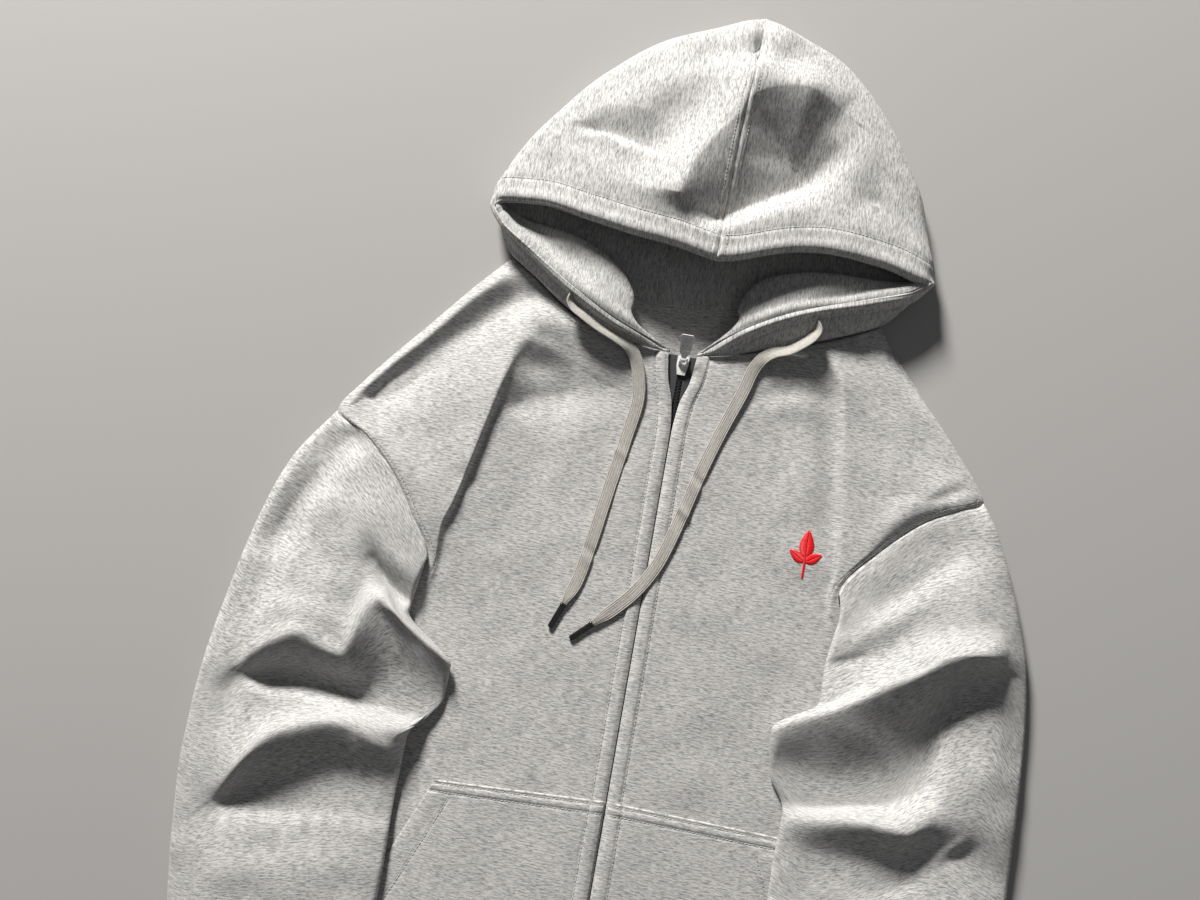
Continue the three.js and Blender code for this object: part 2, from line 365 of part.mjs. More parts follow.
function hood(table, neck, sign) {
  const grid = hoodRows(table);
  neck.forEach((p, r) => { grid[r][0] = [p[0] - sign * 0.2, p[1] + 0.7, Math.max(p[2] - 0.6, 4.6)]; });
  return grid;
}

function hoodLining(outer, cheek, side, sign) {
  const n = gridNormals(outer, false, side);
  n.forEach((row, r) => row.forEach((v, c) => { if (r === n.length - 1 || c === row.length - 1) row[c] = norm([0, v[1], v[2]]); }));
  const near = outer.map((row, r) => row.map((p, c) => add(p, mul(n[r][c], -(FLEECE + SEAM)))));
  const keyed = HOOD_AT.map((r) => near[r].map((p, c) => (cheek[r] && cheek[r][c] ? cheek[r][c] : p)));
  const grid = hoodRows(keyed);
  const last = grid.length - 1;
  return grid.map((row, r) => row.map((p, c) => {
    const q = r > 8 || c > 5 ? near[r][c].slice() : p.slice();
    if (c === row.length - 1 || r === last) q[0] = outer[r][c][0] + sign * 0.2;
    if (r < 6 && c === 0) { q[1] += 1.2; q[2] = Math.min(q[2], outer[r][0][2] - 2.6); }
    return q;
  }));
}

// ---------- hardware and cords ----------
// a flat cord along rows of [x, y, z, roll in degrees]
function flatCord(rows, steps) {
  const fine = refine([...rows.map((p) => [p])], steps).map((r) => r[0]);
  const sections = fine.map((p, i) => {
    const a = fine[Math.max(0, i - 1)], b = fine[Math.min(fine.length - 1, i + 1)];
    const t = norm(sub(b, a).slice(0, 3));
    const flat = norm([t[1], -t[0], 0]);
    const up = norm(cross(flat, t));
    const c = Math.cos(p[3] * Math.PI / 180), s = Math.sin(p[3] * Math.PI / 180);
    const w = add(mul(flat, c), mul(up, s)), h = add(mul(up, c), mul(flat, -s));
    const at = (x, z) => add(p.slice(0, 3), add(mul(w, x * CORD_W / 2), mul(h, z * CORD_T / 2)));
    return [at(-1, 0), at(-0.86, -1), at(0.86, -1), at(1, 0), at(0.86, 1), at(-0.86, 1)];
  });
  return bar(sections);
}

function cordTip(from, to) {
  const t = norm(sub(to, from)), side = norm([t[1], -t[0], 0]), up = cross(side, t);
  const ring = (p, w, h) => Array.from({ length: 10 }, (_, i) => {
    const a = i * Math.PI / 5;
    return add(p, add(mul(side, Math.cos(a) * w / 2), mul(up, Math.sin(a) * h / 2)));
  });
  const end = add(from, mul(t, TIP_LEN));
  return bar([ring(from, TIP_W + 0.6, 2.8), ring(add(from, mul(t, 2)), TIP_W, 3), ring(add(end, mul(t, -0.8)), TIP_W, 3), ring(end, TIP_W - 1.2, 2)]);
}

// ---------- build ----------
const group = new THREE.Group();
const cloth = (c) => new THREE.MeshStandardMaterial({ color: c, roughness: 0.95, metalness: 0 });
const HEATHER = 0xb9bbb9, RIBBED = 0xb2b4b2, CORD = 0xb5b2a9, DARK = 0x2a2b2d, STEEL = 0xc9cbcd;
function piece(name, geometry, material) {
  const m = new THREE.Mesh(geometry, material);
  m.name = name;
  group.add(m);
  return m;
}

const frontR = frontRows(FRONT_RIGHT, -1), frontL = frontRows(FRONT_LEFT, 1);
piece('front_right', wall(frontR, FLEECE, -1), cloth(HEATHER));
piece('front_left', wall(frontL, FLEECE, 1), cloth(HEATHER));

// hood, its neck edge following the front panels' neck edge
const outerR = hood(HOOD_RIGHT, frontR[0].slice().reverse(), -1);
const outerL = hood(HOOD_LEFT, frontL[0].slice().reverse(), 1);
piece('hood_right', wall(outerR, FLEECE, 1, false, true), cloth(HEATHER));
piece('hood_left', wall(outerL, FLEECE, -1, false, true), cloth(HEATHER));
piece('hood_lining_right', wall(hoodLining(outerR, CHEEK_RIGHT, 1, -1), LINING, 1, false, true), cloth(HEATHER));
piece('hood_lining_left', wall(hoodLining(outerL, CHEEK_LEFT, -1, 1), LINING, -1, false, true), cloth(HEATHER));

// back panel: flat on the surface, its neck edge meeting the hood
const backNeckR = outerR.slice(8).map((row) => [row[0][0], row[0][1] - SEAM]);
const backNeckL = outerL.slice(8, -1).map((row) => [row[0][0], row[0][1] - SEAM]);
const BACK_RIGHT = [[-146.5, 49.5], [-172, 21], [-200, -14], [-240, -64], [-256.4, -91.5], [-248, -150], [-246, -220], [-252.6, -280], [-261, -322], [-264, -400], [-264, -480], [-255, HEM_TOP]];
const BACK_LEFT = [[147.5, 44.5], [162, 20], [180, 0], [205, -26], [243, -75.6], [240.4, -140], [238.4, -205], [244.4, -265], [261, -317], [264, -400], [264, -480], [255, HEM_TOP]];
piece('back_panel', plate([...backNeckL, ...backNeckR.reverse(), ...BACK_RIGHT, ...BACK_LEFT.reverse()], 0, FLEECE), cloth(HEATHER));

// sleeves and cuffs
piece('sleeve_right', sleeve(SLEEVE_RIGHT, UNDER_RIGHT, -1, 6), cloth(HEATHER));
piece('sleeve_left', sleeve(SLEEVE_LEFT, UNDER_LEFT, 1, 8), cloth(HEATHER));
const CUFF_RIGHT = [[-593, 277, 182, 19.5, 1], [-613, 274.5, 184.5, 19.5, 1], [-634, 274, 185, 18, 0.6], [-655, 275.5, 183.5, 16, 0.25]];
const CUFF_LEFT = [[-593, 269, 173, 19.5, 1], [-613, 266.5, 175.5, 19.5, 1], [-634, 266, 176, 18, 0.6], [-653, 267.5, 174.5, 16, 0.25]];
piece('cuff_right', cuff(CUFF_RIGHT, -1), cloth(RIBBED));
piece('cuff_left', cuff(CUFF_LEFT, 1), cloth(RIBBED));

// pockets, lying on the front panels
// columns: y, slanted edge, then the placket edge; the mouth slopes out to the side
const POCKET_ROWS = [[-344, 127, 2], [-360, 130.5, 2], [-416, 154, 2], [-470, 178, 2], [-505, 194, 2], [-547, 198, 2]];
function pocket(sign, tilt) {
  const grid = POCKET_ROWS.map(([y, xo, xi], r) => [1, 0.75, 0.5, 0.25, 0].map((t) => {
    const x = lerp(xi, xo, t);
    return [sign * x, y - (r === 0 ? tilt * x : 0), ramp(FRONT_TOP, x) + 0.5 + POCKET];
  }));
  return wall(grid, POCKET, sign < 0 ? -1 : 1);
}
piece('pocket_right', pocket(-1, 0.06), cloth(HEATHER));
piece('pocket_left', pocket(1, 0.02), cloth(HEATHER));

// waistband: one strip round the hem, open at the zip
const BAND_COLUMNS = [[1, 12.6], [45, 12.4], [101, 11.4], [160, 9.4], [200, 7.6], [236, 6.8], [247, 6]];
const BAND_ROWS = [[HEM_TOP - 0.5, 0], [-570, -3], [-590, -4], [HEM_END, -2]];
const waist = BAND_ROWS.map(([y, w]) => {
  const half = BAND_COLUMNS.map(([x, z]) => [x + (x > 150 ? w : 0), z]);
  const round = [[252.5 + w, 3.2], [247 + w, 0.4]];
  const under = [[236 + w, 0], [160, 0], [80, 0], [0, 0]];
  const left = [...half, ...round, ...under].map(([x, z]) => [x, y, z]);
  const right = [...half, ...round, ...under.slice(0, -1)].map(([x, z]) => [-x, y, z]);
  return [...left, ...right.reverse()];
});
piece('waistband', wall(waist, RIB, -1), cloth(RIBBED));

// zip: tapes under the front edges, closed teeth, slider at the top
const tapeEnd = HEM_END + 2;
const tape = (sign) => plate([[2.5, -5], [2.5 + TAPE_W, -5], [2.5 + TAPE_W, tapeEnd], [2.5, tapeEnd]].map(([x, y]) => [sign * x, y]), 6.5, 7.7);
piece('zip_tape_right', tape(-1), cloth(DARK));
piece('zip_tape_left', tape(1), cloth(DARK));
piece('zip_teeth', plate([[-TEETH_W / 2, -9.5], [TEETH_W / 2, -9.5], [TEETH_W / 2, tapeEnd], [-TEETH_W / 2, tapeEnd]], 6.0, 7.9), new THREE.MeshStandardMaterial({ color: 0x55575a, roughness: 0.4, metalness: 0.9 }));

// slider: two plates, the post between them above the teeth, and the bridge that holds the pull
const metal = new THREE.MeshStandardMaterial({ color: STEEL, roughness: 0.22, metalness: 1 });
const SLIDER_TOP = -5.5, BRIDGE_Z = 13.2, BRIDGE_Y = -9.5;
// outline of one side, in [y, z], swept across x
function sweepX(outline, x0, x1) {
  return bar([x0, x1].map((x) => outline.map(([y, z]) => [x, y, z])));
}
const Module = (await import('manifold-3d')).default;
const wasm = await Module();
wasm.setup();
function toManifold(g) {
  const flat = g.index ? g : g;
  const pos = flat.getAttribute('position');
  const keys = new Map(), verts = [], tri = [];
  const id = (i) => {
    const p = [pos.getX(i), pos.getY(i), pos.getZ(i)];
    const k = p.map((c) => Math.round(c * 1e5)).join();
    if (!keys.has(k)) { keys.set(k, verts.length / 3); verts.push(...p); }
    return keys.get(k);
  };
  const n = flat.index ? flat.index.count : pos.count;
  for (let i = 0; i < n; i++) tri.push(id(flat.index ? flat.index.getX(i) : i));
  return new wasm.Manifold(new wasm.Mesh({ numProp: 3, vertProperties: new Float32Array(verts), triVerts: new Uint32Array(tri) }));
}
function fromManifold(m) {
  const mesh = m.getMesh();
  const g = new THREE.BufferGeometry();
  g.setAttribute('position', new THREE.Float32BufferAttribute(Array.from(mesh.vertProperties), 3));
  g.setIndex(Array.from(mesh.triVerts));
  g.computeVertexNormals();
  return g;
}
const box = (w, l, h, x, y, z) => new THREE.BoxGeometry(w, l, h).translate(x, y, z);
const rod = (d, l, y, z, seg = 16) => new THREE.CylinderGeometry(d / 2, d / 2, l, seg).rotateZ(Math.PI / 2).translate(0, y, z);
const slab = (z0, z1) => plate([[-SLIDER_W / 2, SLIDER_TOP], [SLIDER_W / 2, SLIDER_TOP], [SLIDER_W / 2, SLIDER_TOP - 8], [3.1, SLIDER_TOP - SLIDER_L], [-3.1, SLIDER_TOP - SLIDER_L], [-SLIDER_W / 2, SLIDER_TOP - 8]], z0, z1);
let body = toManifold(slab(8.2, 9.7)).add(toManifold(slab(4.2, 5.6)));
body = body.add(toManifold(box(1.8, 3.2, 4, 0, SLIDER_TOP - 1.9, 6.9)));
for (const s of [-1, 1]) {
  const cheek = [[BRIDGE_Y + 2.2, 9.5], [BRIDGE_Y + 1.3, BRIDGE_Z + 0.9], [BRIDGE_Y - 1.3, BRIDGE_Z + 0.9], [BRIDGE_Y - 4.2, 9.5]];
  body = body.add(toManifold(sweepX(cheek, s * 2.3, s * 3.3)));
}
body = body.add(toManifold(rod(1.5, 5.6, BRIDGE_Y, BRIDGE_Z)));
piece('zip_slider', fromManifold(body), metal);

// pull tab: an eye round the bridge bar, a short neck and a framed tab
const eye = toManifold(rod(4.0, 3.4, 0, 0, 24)).subtract(toManifold(rod(2.3, 6, 0, 0, 24)));
const tab = toManifold(plate([[-1.7, 1.6], [1.7, 1.6], [2.6, 4.6], [4.1, 6], [5.0, PULL_LEN - 2], [4.2, PULL_LEN - 0.6], [-4.2, PULL_LEN - 0.6], [-5.0, PULL_LEN - 2], [-4.1, 6], [-2.6, 4.6]], -0.8, 0.8));
const well = toManifold(box(6.2, 10.5, 1, 0, 12.8, 0.95));
const pull = tab.add(eye).subtract(toManifold(rod(2.3, 6, 0, 0, 24))).subtract(well);
const pullGeometry = fromManifold(pull).rotateX(PULL_TILT * Math.PI / 180).translate(0, BRIDGE_Y, BRIDGE_Z);
piece('zip_pull', pullGeometry, metal);

// drawcords: out of the hood edge, along the neck and down the chest
const CORD_RIGHT = [[-89, 14, 25.5, 42], [-82, 9.5, 26, 42], [-68, 2.5, 24, 40], [-53, -3, 21, 30], [-42, -8, 17.6, 12], [-34.5, -19, 14.6, 0], [-29, -46, 12.6, 0], [-33, -78, 11.7, 0], [-39, -118, 11.5, 0], [-45, -161, 11.4, 0], [-50, -189, 11.3, 0], [-57, -208, 11.5, 0]];
const CORD_LEFT = [[93, 23, 24.5, -40], [86, 16, 24, -40], [77, 10, 21.5, -34], [67, 7, 19.5, -24], [59, 1, 17.2, -10], [54, -8, 14.8, 0], [49, -26, 13, 0], [38, -58, 11.9, 0], [27, -95, 11.7, 0], [18, -131, 11.8, 0], [7, -167, 12, 0], [-6, -190, 12, 0], [-21, -207, 11.8, 0], [-33, -218.5, 11.7, 0]];
piece('drawcord_right', flatCord(CORD_RIGHT, 3), cloth(CORD));
piece('drawcord_left', flatCord(CORD_LEFT, 3), cloth(CORD));
const tipMetal = new THREE.MeshStandardMaterial({ color: 0x1b1a19, roughness: 0.3, metalness: 0.6 });
function tipAfter(rows, name) {
  const a = rows[rows.length - 2].slice(0, 3), b = rows[rows.length - 1].slice(0, 3);
  const t = norm([b[0] - a[0], b[1] - a[1], 0]);
  const from = add(b, mul(t, 0.4));
  from[2] = b[2] + 0.6;
  piece(name, cordTip(from, add(from, t)), tipMetal);
}
tipAfter(CORD_RIGHT, 'cord_tip_right');
tipAfter(CORD_LEFT, 'cord_tip_left');

// origin: under the middle of the object
const bounds = new THREE.Box3();
for (const m of group.children) {
  if (m.name.startsWith('drawcord') || m.name.startsWith('cord_tip')) continue;
  m.geometry.computeBoundingBox();
  bounds.union(m.geometry.boundingBox);
}
const mid = bounds.getCenter(new THREE.Vector3());
for (const m of group.children) m.geometry.translate(-mid.x, -mid.y, -bounds.min.z);

export default group;
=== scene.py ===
# A zip-front fleece hoodie laid flat on its back, hood up, built piece by piece as cut and sewn cloth.
# Garment sizes are in mm, with the zip's top at the origin; they are shifted and scaled to the row frame at the end.
import bpy
import numpy as np
from mathutils import Matrix


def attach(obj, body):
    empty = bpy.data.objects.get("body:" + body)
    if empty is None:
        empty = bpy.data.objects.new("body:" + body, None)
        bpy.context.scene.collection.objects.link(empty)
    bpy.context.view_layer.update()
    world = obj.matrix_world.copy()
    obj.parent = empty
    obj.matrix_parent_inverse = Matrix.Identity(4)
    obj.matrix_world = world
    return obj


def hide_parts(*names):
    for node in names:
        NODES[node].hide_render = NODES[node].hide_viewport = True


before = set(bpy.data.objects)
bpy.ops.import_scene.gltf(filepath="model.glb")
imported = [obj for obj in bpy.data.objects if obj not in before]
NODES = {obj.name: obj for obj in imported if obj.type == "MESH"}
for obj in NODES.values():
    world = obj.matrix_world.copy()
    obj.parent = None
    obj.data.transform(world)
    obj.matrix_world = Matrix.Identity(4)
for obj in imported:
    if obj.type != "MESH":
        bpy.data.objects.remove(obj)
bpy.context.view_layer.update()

RNG = np.random.default_rng(7)
SHIFT = np.array([11.0, 188.0, 0.0])


def to_row(p):
    return (np.asarray(p, float) + SHIFT) / 1000.0


# ------------------------------------------------------------------ camera
TILT, LEAN, ROLL = np.radians([7.0, 17.6, 7.4])


def camera():
    d = np.array([-np.sin(LEAN), np.cos(LEAN), 0.0])
    fwd = d * np.sin(TILT) + np.array([0, 0, -np.cos(TILT)])
    up0 = d * np.cos(TILT) + np.array([0, 0, np.sin(TILT)])
    right0 = np.cross(fwd, up0)
    up = np.cos(ROLL) * up0 + np.sin(ROLL) * right0
    right = np.cross(fwd, up)
    # the ray through image point (85, -100) from the centre, of 1000 units focal length, meets the zip's top at z = 8
    ray = fwd + 0.085 * right + 0.100 * up
    back = -fwd * 775.0
    t = (8.0 - back[2]) / ray[2]
    hit = back + ray * t
    eye = back - np.array([hit[0], hit[1], 0.0])
    cam = bpy.data.objects.new("camera", bpy.data.cameras.new("camera"))
    cam.data.lens, cam.data.sensor_width = 30.0, 36.0
    cam.data.clip_start, cam.data.clip_end = 0.02, 20.0
    bpy.context.scene.collection.objects.link(cam)
    bpy.context.scene.camera = cam
    m = Matrix.Identity(4)
    for i in range(3):
        m[i][0], m[i][1], m[i][2], m[i][3] = right[i], up[i], -fwd[i], to_row(eye)[i]
    cam.matrix_world = m
    return cam


camera()


# ------------------------------------------------------------------ curves through tables
def ease(p0, p1, p2, p3, t):
    d0, d1, d2 = p1 - p0, p2 - p1, p3 - p2
    m1 = np.where(d0 * d1 > 0, 2 * d0 * d1 / np.where(d0 + d1 == 0, 1, d0 + d1), 0)
    m2 = np.where(d1 * d2 > 0, 2 * d1 * d2 / np.where(d1 + d2 == 0, 1, d1 + d2), 0)
    a, b = t * t, t * t * t
    return (2 * b - 3 * a + 1) * p1 + (b - 2 * a + t) * m1 + (3 * a - 2 * b) * p2 + (b - a) * m2


def sample(A, q):
    """A's rows at the fractional rows q."""
    A = np.asarray(A, float)
    n = len(A)
    out = np.empty((len(q),) + A.shape[1:])
    for i, x in enumerate(q):
        k = min(int(x), n - 2)
        t = x - k
        p1, p2 = A[k], A[k + 1]
        p0 = A[k - 1] if k else 2 * p1 - p2
        p3 = A[k + 2] if k + 2 < n else 2 * p2 - p1
        out[i] = ease(p0, p1, p2, p3, t)
    return out


def steps_for(A, size, fine=None):
    """Fractional rows of A about `size` apart; fine gives {interval: size}."""
    A = np.asarray(A, float)
    q = []
    for k in range(len(A) - 1):
        far = np.linalg.norm(A[k + 1] - A[k], axis=-1).max()
        s = (fine or {}).get(k, size)
        n = max(1, int(np.ceil(far / s)))
        q += [k + i / n for i in range(n)]
    return q + [len(A) - 1.0]


def loft(table, du, dv, fine_u=None, fine_v=None):
    """A fine grid through a table: (rows, columns, 3), and the fractional rows and columns it was taken at."""
    T = np.asarray(table, float)
    qu = steps_for(T, du, fine_u)
    G = sample(T, qu)
    H = np.swapaxes(T, 0, 1)
    qv = steps_for(H, dv, fine_v)
    G = np.swapaxes(sample(np.swapaxes(G, 0, 1), qv), 0, 1)
    return G, np.array(qu), np.array(qv)


def run(G, axis):
    """Length along the rows or columns of a grid."""
    d = np.linalg.norm(np.diff(G, axis=axis), axis=-1)
    pad = [(0, 0), (0, 0)]
    pad[axis] = (1, 0)
    return np.pad(np.cumsum(d, axis=axis), pad)


def normals(G, ring=False):
    if ring:
        du = np.roll(G, -1, 1) - np.roll(G, 1, 1)
    else:
        du = np.gradient(G, axis=1)
    dv = np.gradient(G, axis=0)
    n = np.cross(du, dv)
    n /= np.linalg.norm(n, axis=-1, keepdims=True) + 1e-12
    return n


def ramp(rows, x):
    r = np.asarray(rows, float)
    return np.interp(x, r[:, 0], r[:, 1])


# ------------------------------------------------------------------ folds laid on
def along(P, line):
    """Distance of each point to a line in plan, the side it lies on, and where along the line it is (0..n-1)."""
    L = np.asarray(line, float)[:, :2]
    best = np.full(P.shape[:-1], 1e9)
    side = np.zeros_like(best)
    at = np.zeros_like(best)
    for k in range(len(L) - 1):
        a, b = L[k], L[k + 1]
        ab = b - a
        ap = P[..., :2] - a
        t = np.clip((ap @ ab) / (ab @ ab), 0, 1)
        d = np.linalg.norm(ap - t[..., None] * ab, axis=-1)
        s = np.sign(ab[0] * ap[..., 1] - ab[1] * ap[..., 0])
        m = d < best
        best = np.where(m, d, best)
        side = np.where(m, s, side)
        at = np.where(m, k + t, at)
    return best, side, at


def smooth_line(line, n=8):
    L = np.asarray(line, float)
    q = np.linspace(0, len(L) - 1, (len(L) - 1) * n + 1)
    return sample(L, q)


def crease(P, height, width, line):
    """Height to add for a ridge (or trough) along a line of [x, y, part of the height]. width is one size, or the sizes to the left and right of the line."""
    L = np.asarray(line, float)
    if L.shape[1] == 2:
        n = len(L)
        share = np.ones(n)
        share[0] = share[-1] = 0.0 if n > 2 else 1.0
        L = np.column_stack([L, share])
    if len(L) > 2:
        L = smooth_line(L, 6)
    d, s, at = along(P, L)
    h = np.interp(at, np.arange(len(L)), L[:, 2])
    w = width if np.isscalar(width) else np.where(s > 0, width[0], width[1])
    return height * h * np.exp(-((d / w) ** 2))


def fall(P, high, low, wide, turn, ridge, valley):
    """Height to add for cloth that falls evenly from a ridge line to a valley line. turn is 1 where the valley is to the right of the ridge line's direction, wide the sizes beyond the two lines."""
    A, B = smooth_line(ridge, 6), smooth_line(valley, 6)
    d1, s1, a1 = along(P, A)
    d2, s2, a2 = along(P, B)
    e1 = np.interp(a1, np.arange(len(A)), A[:, 2])
    e2 = np.interp(a2, np.arange(len(B)), B[:, 2])
    t = d1 / (d1 + d2 + 1e-9)
    t = 0.72 * t + 0.28 * t * t * (3 - 2 * t)
    past_ridge, past_valley = s1 * turn > 0, s2 * turn < 0
    z = high * e1 * (1 - t) + low * e2 * t
    z = np.where(past_ridge, high * e1 * np.exp(-((d1 / wide[0]) ** 2)), z)
    return np.where(past_valley & ~past_ridge, low * e2 * np.exp(-((d2 / wide[1]) ** 2)), z)


def blob(P, height, x, y, rx, ry, turn=0.0):
    c, s = np.cos(np.radians(turn)), np.sin(np.radians(turn))
    dx, dy = P[..., 0] - x, P[..., 1] - y
    u, v = (c * dx + s * dy) / rx, (-s * dx + c * dy) / ry
    return height * np.exp(-(u * u + v * v))


def waves(P, seed, size, height):
    """Soft unevenness of cloth that nobody pressed."""
    r = np.random.default_rng(seed)
    out = np.zeros(P.shape[:-1])
    for _ in range(10):
        a = r.uniform(0, 2 * np.pi)
        k = 2 * np.pi / (size * r.uniform(0.7, 1.6))
        out += np.sin(k * (np.cos(a) * P[..., 0] + np.sin(a) * P[..., 1]) + r.uniform(0, 6.28))
    return out * height / 10 ** 0.5


# ------------------------------------------------------------------ meshes
def mesh_from(name, points, faces, material, cloth=None, smooth=True, sharp=None):
    me = bpy.data.meshes.new(name)
    pts = to_row(points)
    me.vertices.add(len(pts))
    me.vertices.foreach_set("co", pts.astype(np.float32).ravel())
    if isinstance(faces, np.ndarray):
        f = faces
        me.loops.add(f.size)
        me.loops.foreach_set("vertex_index", f.astype(np.int32).ravel())
        me.polygons.add(len(f))
        me.polygons.foreach_set("loop_start", np.arange(0, f.size, f.shape[1], dtype=np.int32))
    else:
        starts = np.cumsum([0] + [len(f) for f in faces[:-1]]).astype(np.int32)
        flat = np.array([v for f in faces for v in f], np.int32)
        me.loops.add(len(flat))
        me.loops.foreach_set("vertex_index", flat)
        me.polygons.add(len(faces))
        me.polygons.foreach_set("loop_start", starts)
    me.update(calc_edges=True)
    me.validate()
    me.polygons.foreach_set("use_smooth", np.full(len(me.polygons), smooth))
    if cloth is not None:
        at = me.attributes.new("cloth", "FLOAT_VECTOR", "POINT")
        at.data.foreach_set("vector", np.asarray(cloth, np.float32).ravel())
    me.materials.append(material)
    o = bpy.data.objects.new(name, me)
    bpy.context.scene.collection.objects.link(o)
    return o


def hidden_cells(R, C, step=3, ring=False):
    """Faces for a side that isn't seen: large cells that keep every vertex of the border."""
    rows = list(range(0, R - 1, step)) + [R - 1]
    cols = list(range(0, C, step)) + [C] if ring else list(range(0, C - 1, step)) + [C - 1]
    cells = []
    for r0, r1 in zip(rows[:-1], rows[1:]):
        for c0, c1 in zip(cols[:-1], cols[1:]):
            f = [(r0, c) for c in (range(c0, c1) if r0 == 0 else [c0])]
            f += [(r, c1) for r in (range(r0, r1) if c1 == C - 1 and not ring else [r0])]
            f += [(r1, c) for c in (range(c1, c0, -1) if r1 == R - 1 else [c1])]
            f += [(r, c0) for r in (range(r1, r0, -1) if c0 == 0 and not ring else [r1])]
            cells.append([r * C + c % C for r, c in f])
    return cells


def tidy(pts, cloth, faces):
    """The same mesh without its unused vertices."""
    used = np.unique(np.array([v for f in faces for v in f]))
    new = np.full(len(pts), -1)
    new[used] = np.arange(len(used))
    new = new.tolist()
    return pts[used], cloth[used], [[new[v] for v in f] for f in faces]


def shell(name, G, thick, outward, material, cloth, body="garment", nose=True, level=False, seen="outside"):
    """A closed wall of cloth: the grid, the same grid moved in by its thickness, and rounded edges all round."""
    R, C = G.shape[:2]
    n = np.broadcast_to(np.array([0.0, 0.0, 1.0]), G.shape) if level else normals(G) * outward
    t = thick if np.ndim(thick) == 0 else np.asarray(thick)[..., None]
    I = G - n * t
    # boundary loop, counter-clockwise in the grid
    loop = [(r, 0) for r in range(R)] + [(R - 1, c) for c in range(1, C)] + [(r, C - 1) for r in range(R - 2, -1, -1)] + [(0, c) for c in range(C - 2, 0, -1)]
    lr, lc = np.array(loop).T
    out = np.zeros((len(loop), 3))
    for k, (r, c) in enumerate(loop):
        if c == 0:
            out[k] += _unit(G[r, 0] - G[r, 1])
        if c == C - 1:
            out[k] += _unit(G[r, C - 1] - G[r, C - 2])
        if r == 0:
            out[k] += _unit(G[0, c] - G[1, c])
        if r == R - 1:
            out[k] += _unit(G[R - 1, c] - G[R - 2, c])
    out = out / (np.linalg.norm(out, axis=1, keepdims=True) + 1e-9)
    O, N = G[lr, lc], I[lr, lc]
    M, h = (O + N) / 2, (O - N) / 2
    hl = np.linalg.norm(h, axis=1, keepdims=True)
    arcs = [M + h * np.cos(a) + out * hl * np.sin(a) * (0.9 if nose else 0.0) for a in np.radians([40, 90, 140])]
    pts = np.concatenate([G.reshape(-1, 3), I.reshape(-1, 3)] + arcs)
    idx = np.arange(R * C).reshape(R, C)
    a, b, c_, d = idx[:-1, :-1], idx[1:, :-1], idx[1:, 1:], idx[:-1, 1:]
    q1 = np.stack([a, b, c_, d], -1).reshape(-1, 4)
    q2 = np.stack([a, d, c_, b], -1).reshape(-1, 4) + R * C
    base = 2 * R * C
    nl = len(loop)
    strips = []
    prev = idx[lr, lc]
    for k in range(4):
        cur = base + k * nl + np.arange(nl) if k < 3 else idx[lr, lc] + R * C
        strips.append(np.stack([prev, cur, np.roll(cur, -1), np.roll(prev, -1)], -1))
        prev = cur
    turned = _volume(pts, np.concatenate([q1, q2] + strips)) < 0
    if seen == "outside":
        faces = np.concatenate([q1] + strips).tolist() + [[v + R * C for v in f] for f in hidden_cells(R, C)]
    else:
        faces = np.concatenate([q2] + strips).tolist() + [f[::-1] for f in hidden_cells(R, C)]
    # outward winding
    if turned:
        faces = [f[::-1] for f in faces]
    cl = np.concatenate([cloth.reshape(-1, 3), cloth.reshape(-1, 3)] + [cloth[lr, lc]] * 3)
    pts, cl, faces = tidy(pts, cl, faces)
    o = mesh_from(name, pts, faces, material, cl)
    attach(o, body)
    return o


def _unit(v):
    return v / (np.linalg.norm(v) + 1e-12)


def _volume(p, f):
    a, b, c, d = (p[f[:, i]] for i in range(4))
    return float((a * np.cross(b, c)).sum() + (a * np.cross(c, d)).sum()) / 6


def tube(name, G, thick, material, cloth, body="garment", cap=True):
    """A closed wall round a tube: grid rows are rings."""
    R, C = G.shape[:2]
    n = normals(G, ring=True)
    mid = G.mean(1, keepdims=True)
    if ((G - mid) * n).sum() < 0:
        n = -n
    I = G - n * thick
    idx = np.arange(R * C).reshape(R, C)
    nx = np.roll(idx, -1, 1)
    q1 = np.stack([idx[:-1], idx[1:], nx[1:], nx[:-1]], -1).reshape(-1, 4)
    q2 = q1[:, ::-1] + R * C
    pts = [G.reshape(-1, 3), I.reshape(-1, 3)]
    faces = [q1, q2]
    base = 2 * R * C
    cl = [cloth.reshape(-1, 3)] * 2
    for r, nb in ((0, 1), (R - 1, R - 2)):
        out = G[r] - G[nb]
        out /= np.linalg.norm(out, axis=1, keepdims=True) + 1e-9
        M, h = (G[r] + I[r]) / 2, (G[r] - I[r]) / 2
        hl = np.linalg.norm(h, axis=1, keepdims=True)
        prev = idx[r]
        for a in np.radians([40, 90, 140, 180]):
            if a < 3:
                pts.append(M + h * np.cos(a) + out * hl * np.sin(a) * 0.9)
                cl.append(cloth[r])
                cur = base + np.arange(C)
                base += C
            else:
                cur = idx[r] + R * C
            q = np.stack([prev, cur, np.roll(cur, -1), np.roll(prev, -1)], -1)
            faces.append(q if r == 0 else q[:, ::-1])
            prev = cur
    # both ends wind the same way as the side they continue
    pts = np.concatenate(pts)
    turned = _volume(pts, np.concatenate(faces)) < 0
    cells = [[v + R * C for v in f] for f in hidden_cells(R, C, ring=True)]
    faces = np.concatenate([faces[0]] + faces[2:]).tolist() + cells
    if turned:
        faces = [f[::-1] for f in faces]
    pts, cl, faces = tidy(pts, np.concatenate(cl), faces)
    o = mesh_from(name, pts, faces, material, cl)
    fix_winding(o)
    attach(o, body)
    return o


def fix_winding(o):
    import bmesh
    bm = bmesh.new()
    bm.from_mesh(o.data)
    bmesh.ops.recalc_face_normals(bm, faces=bm.faces)
    bm.to_mesh(o.data)
    bm.free()


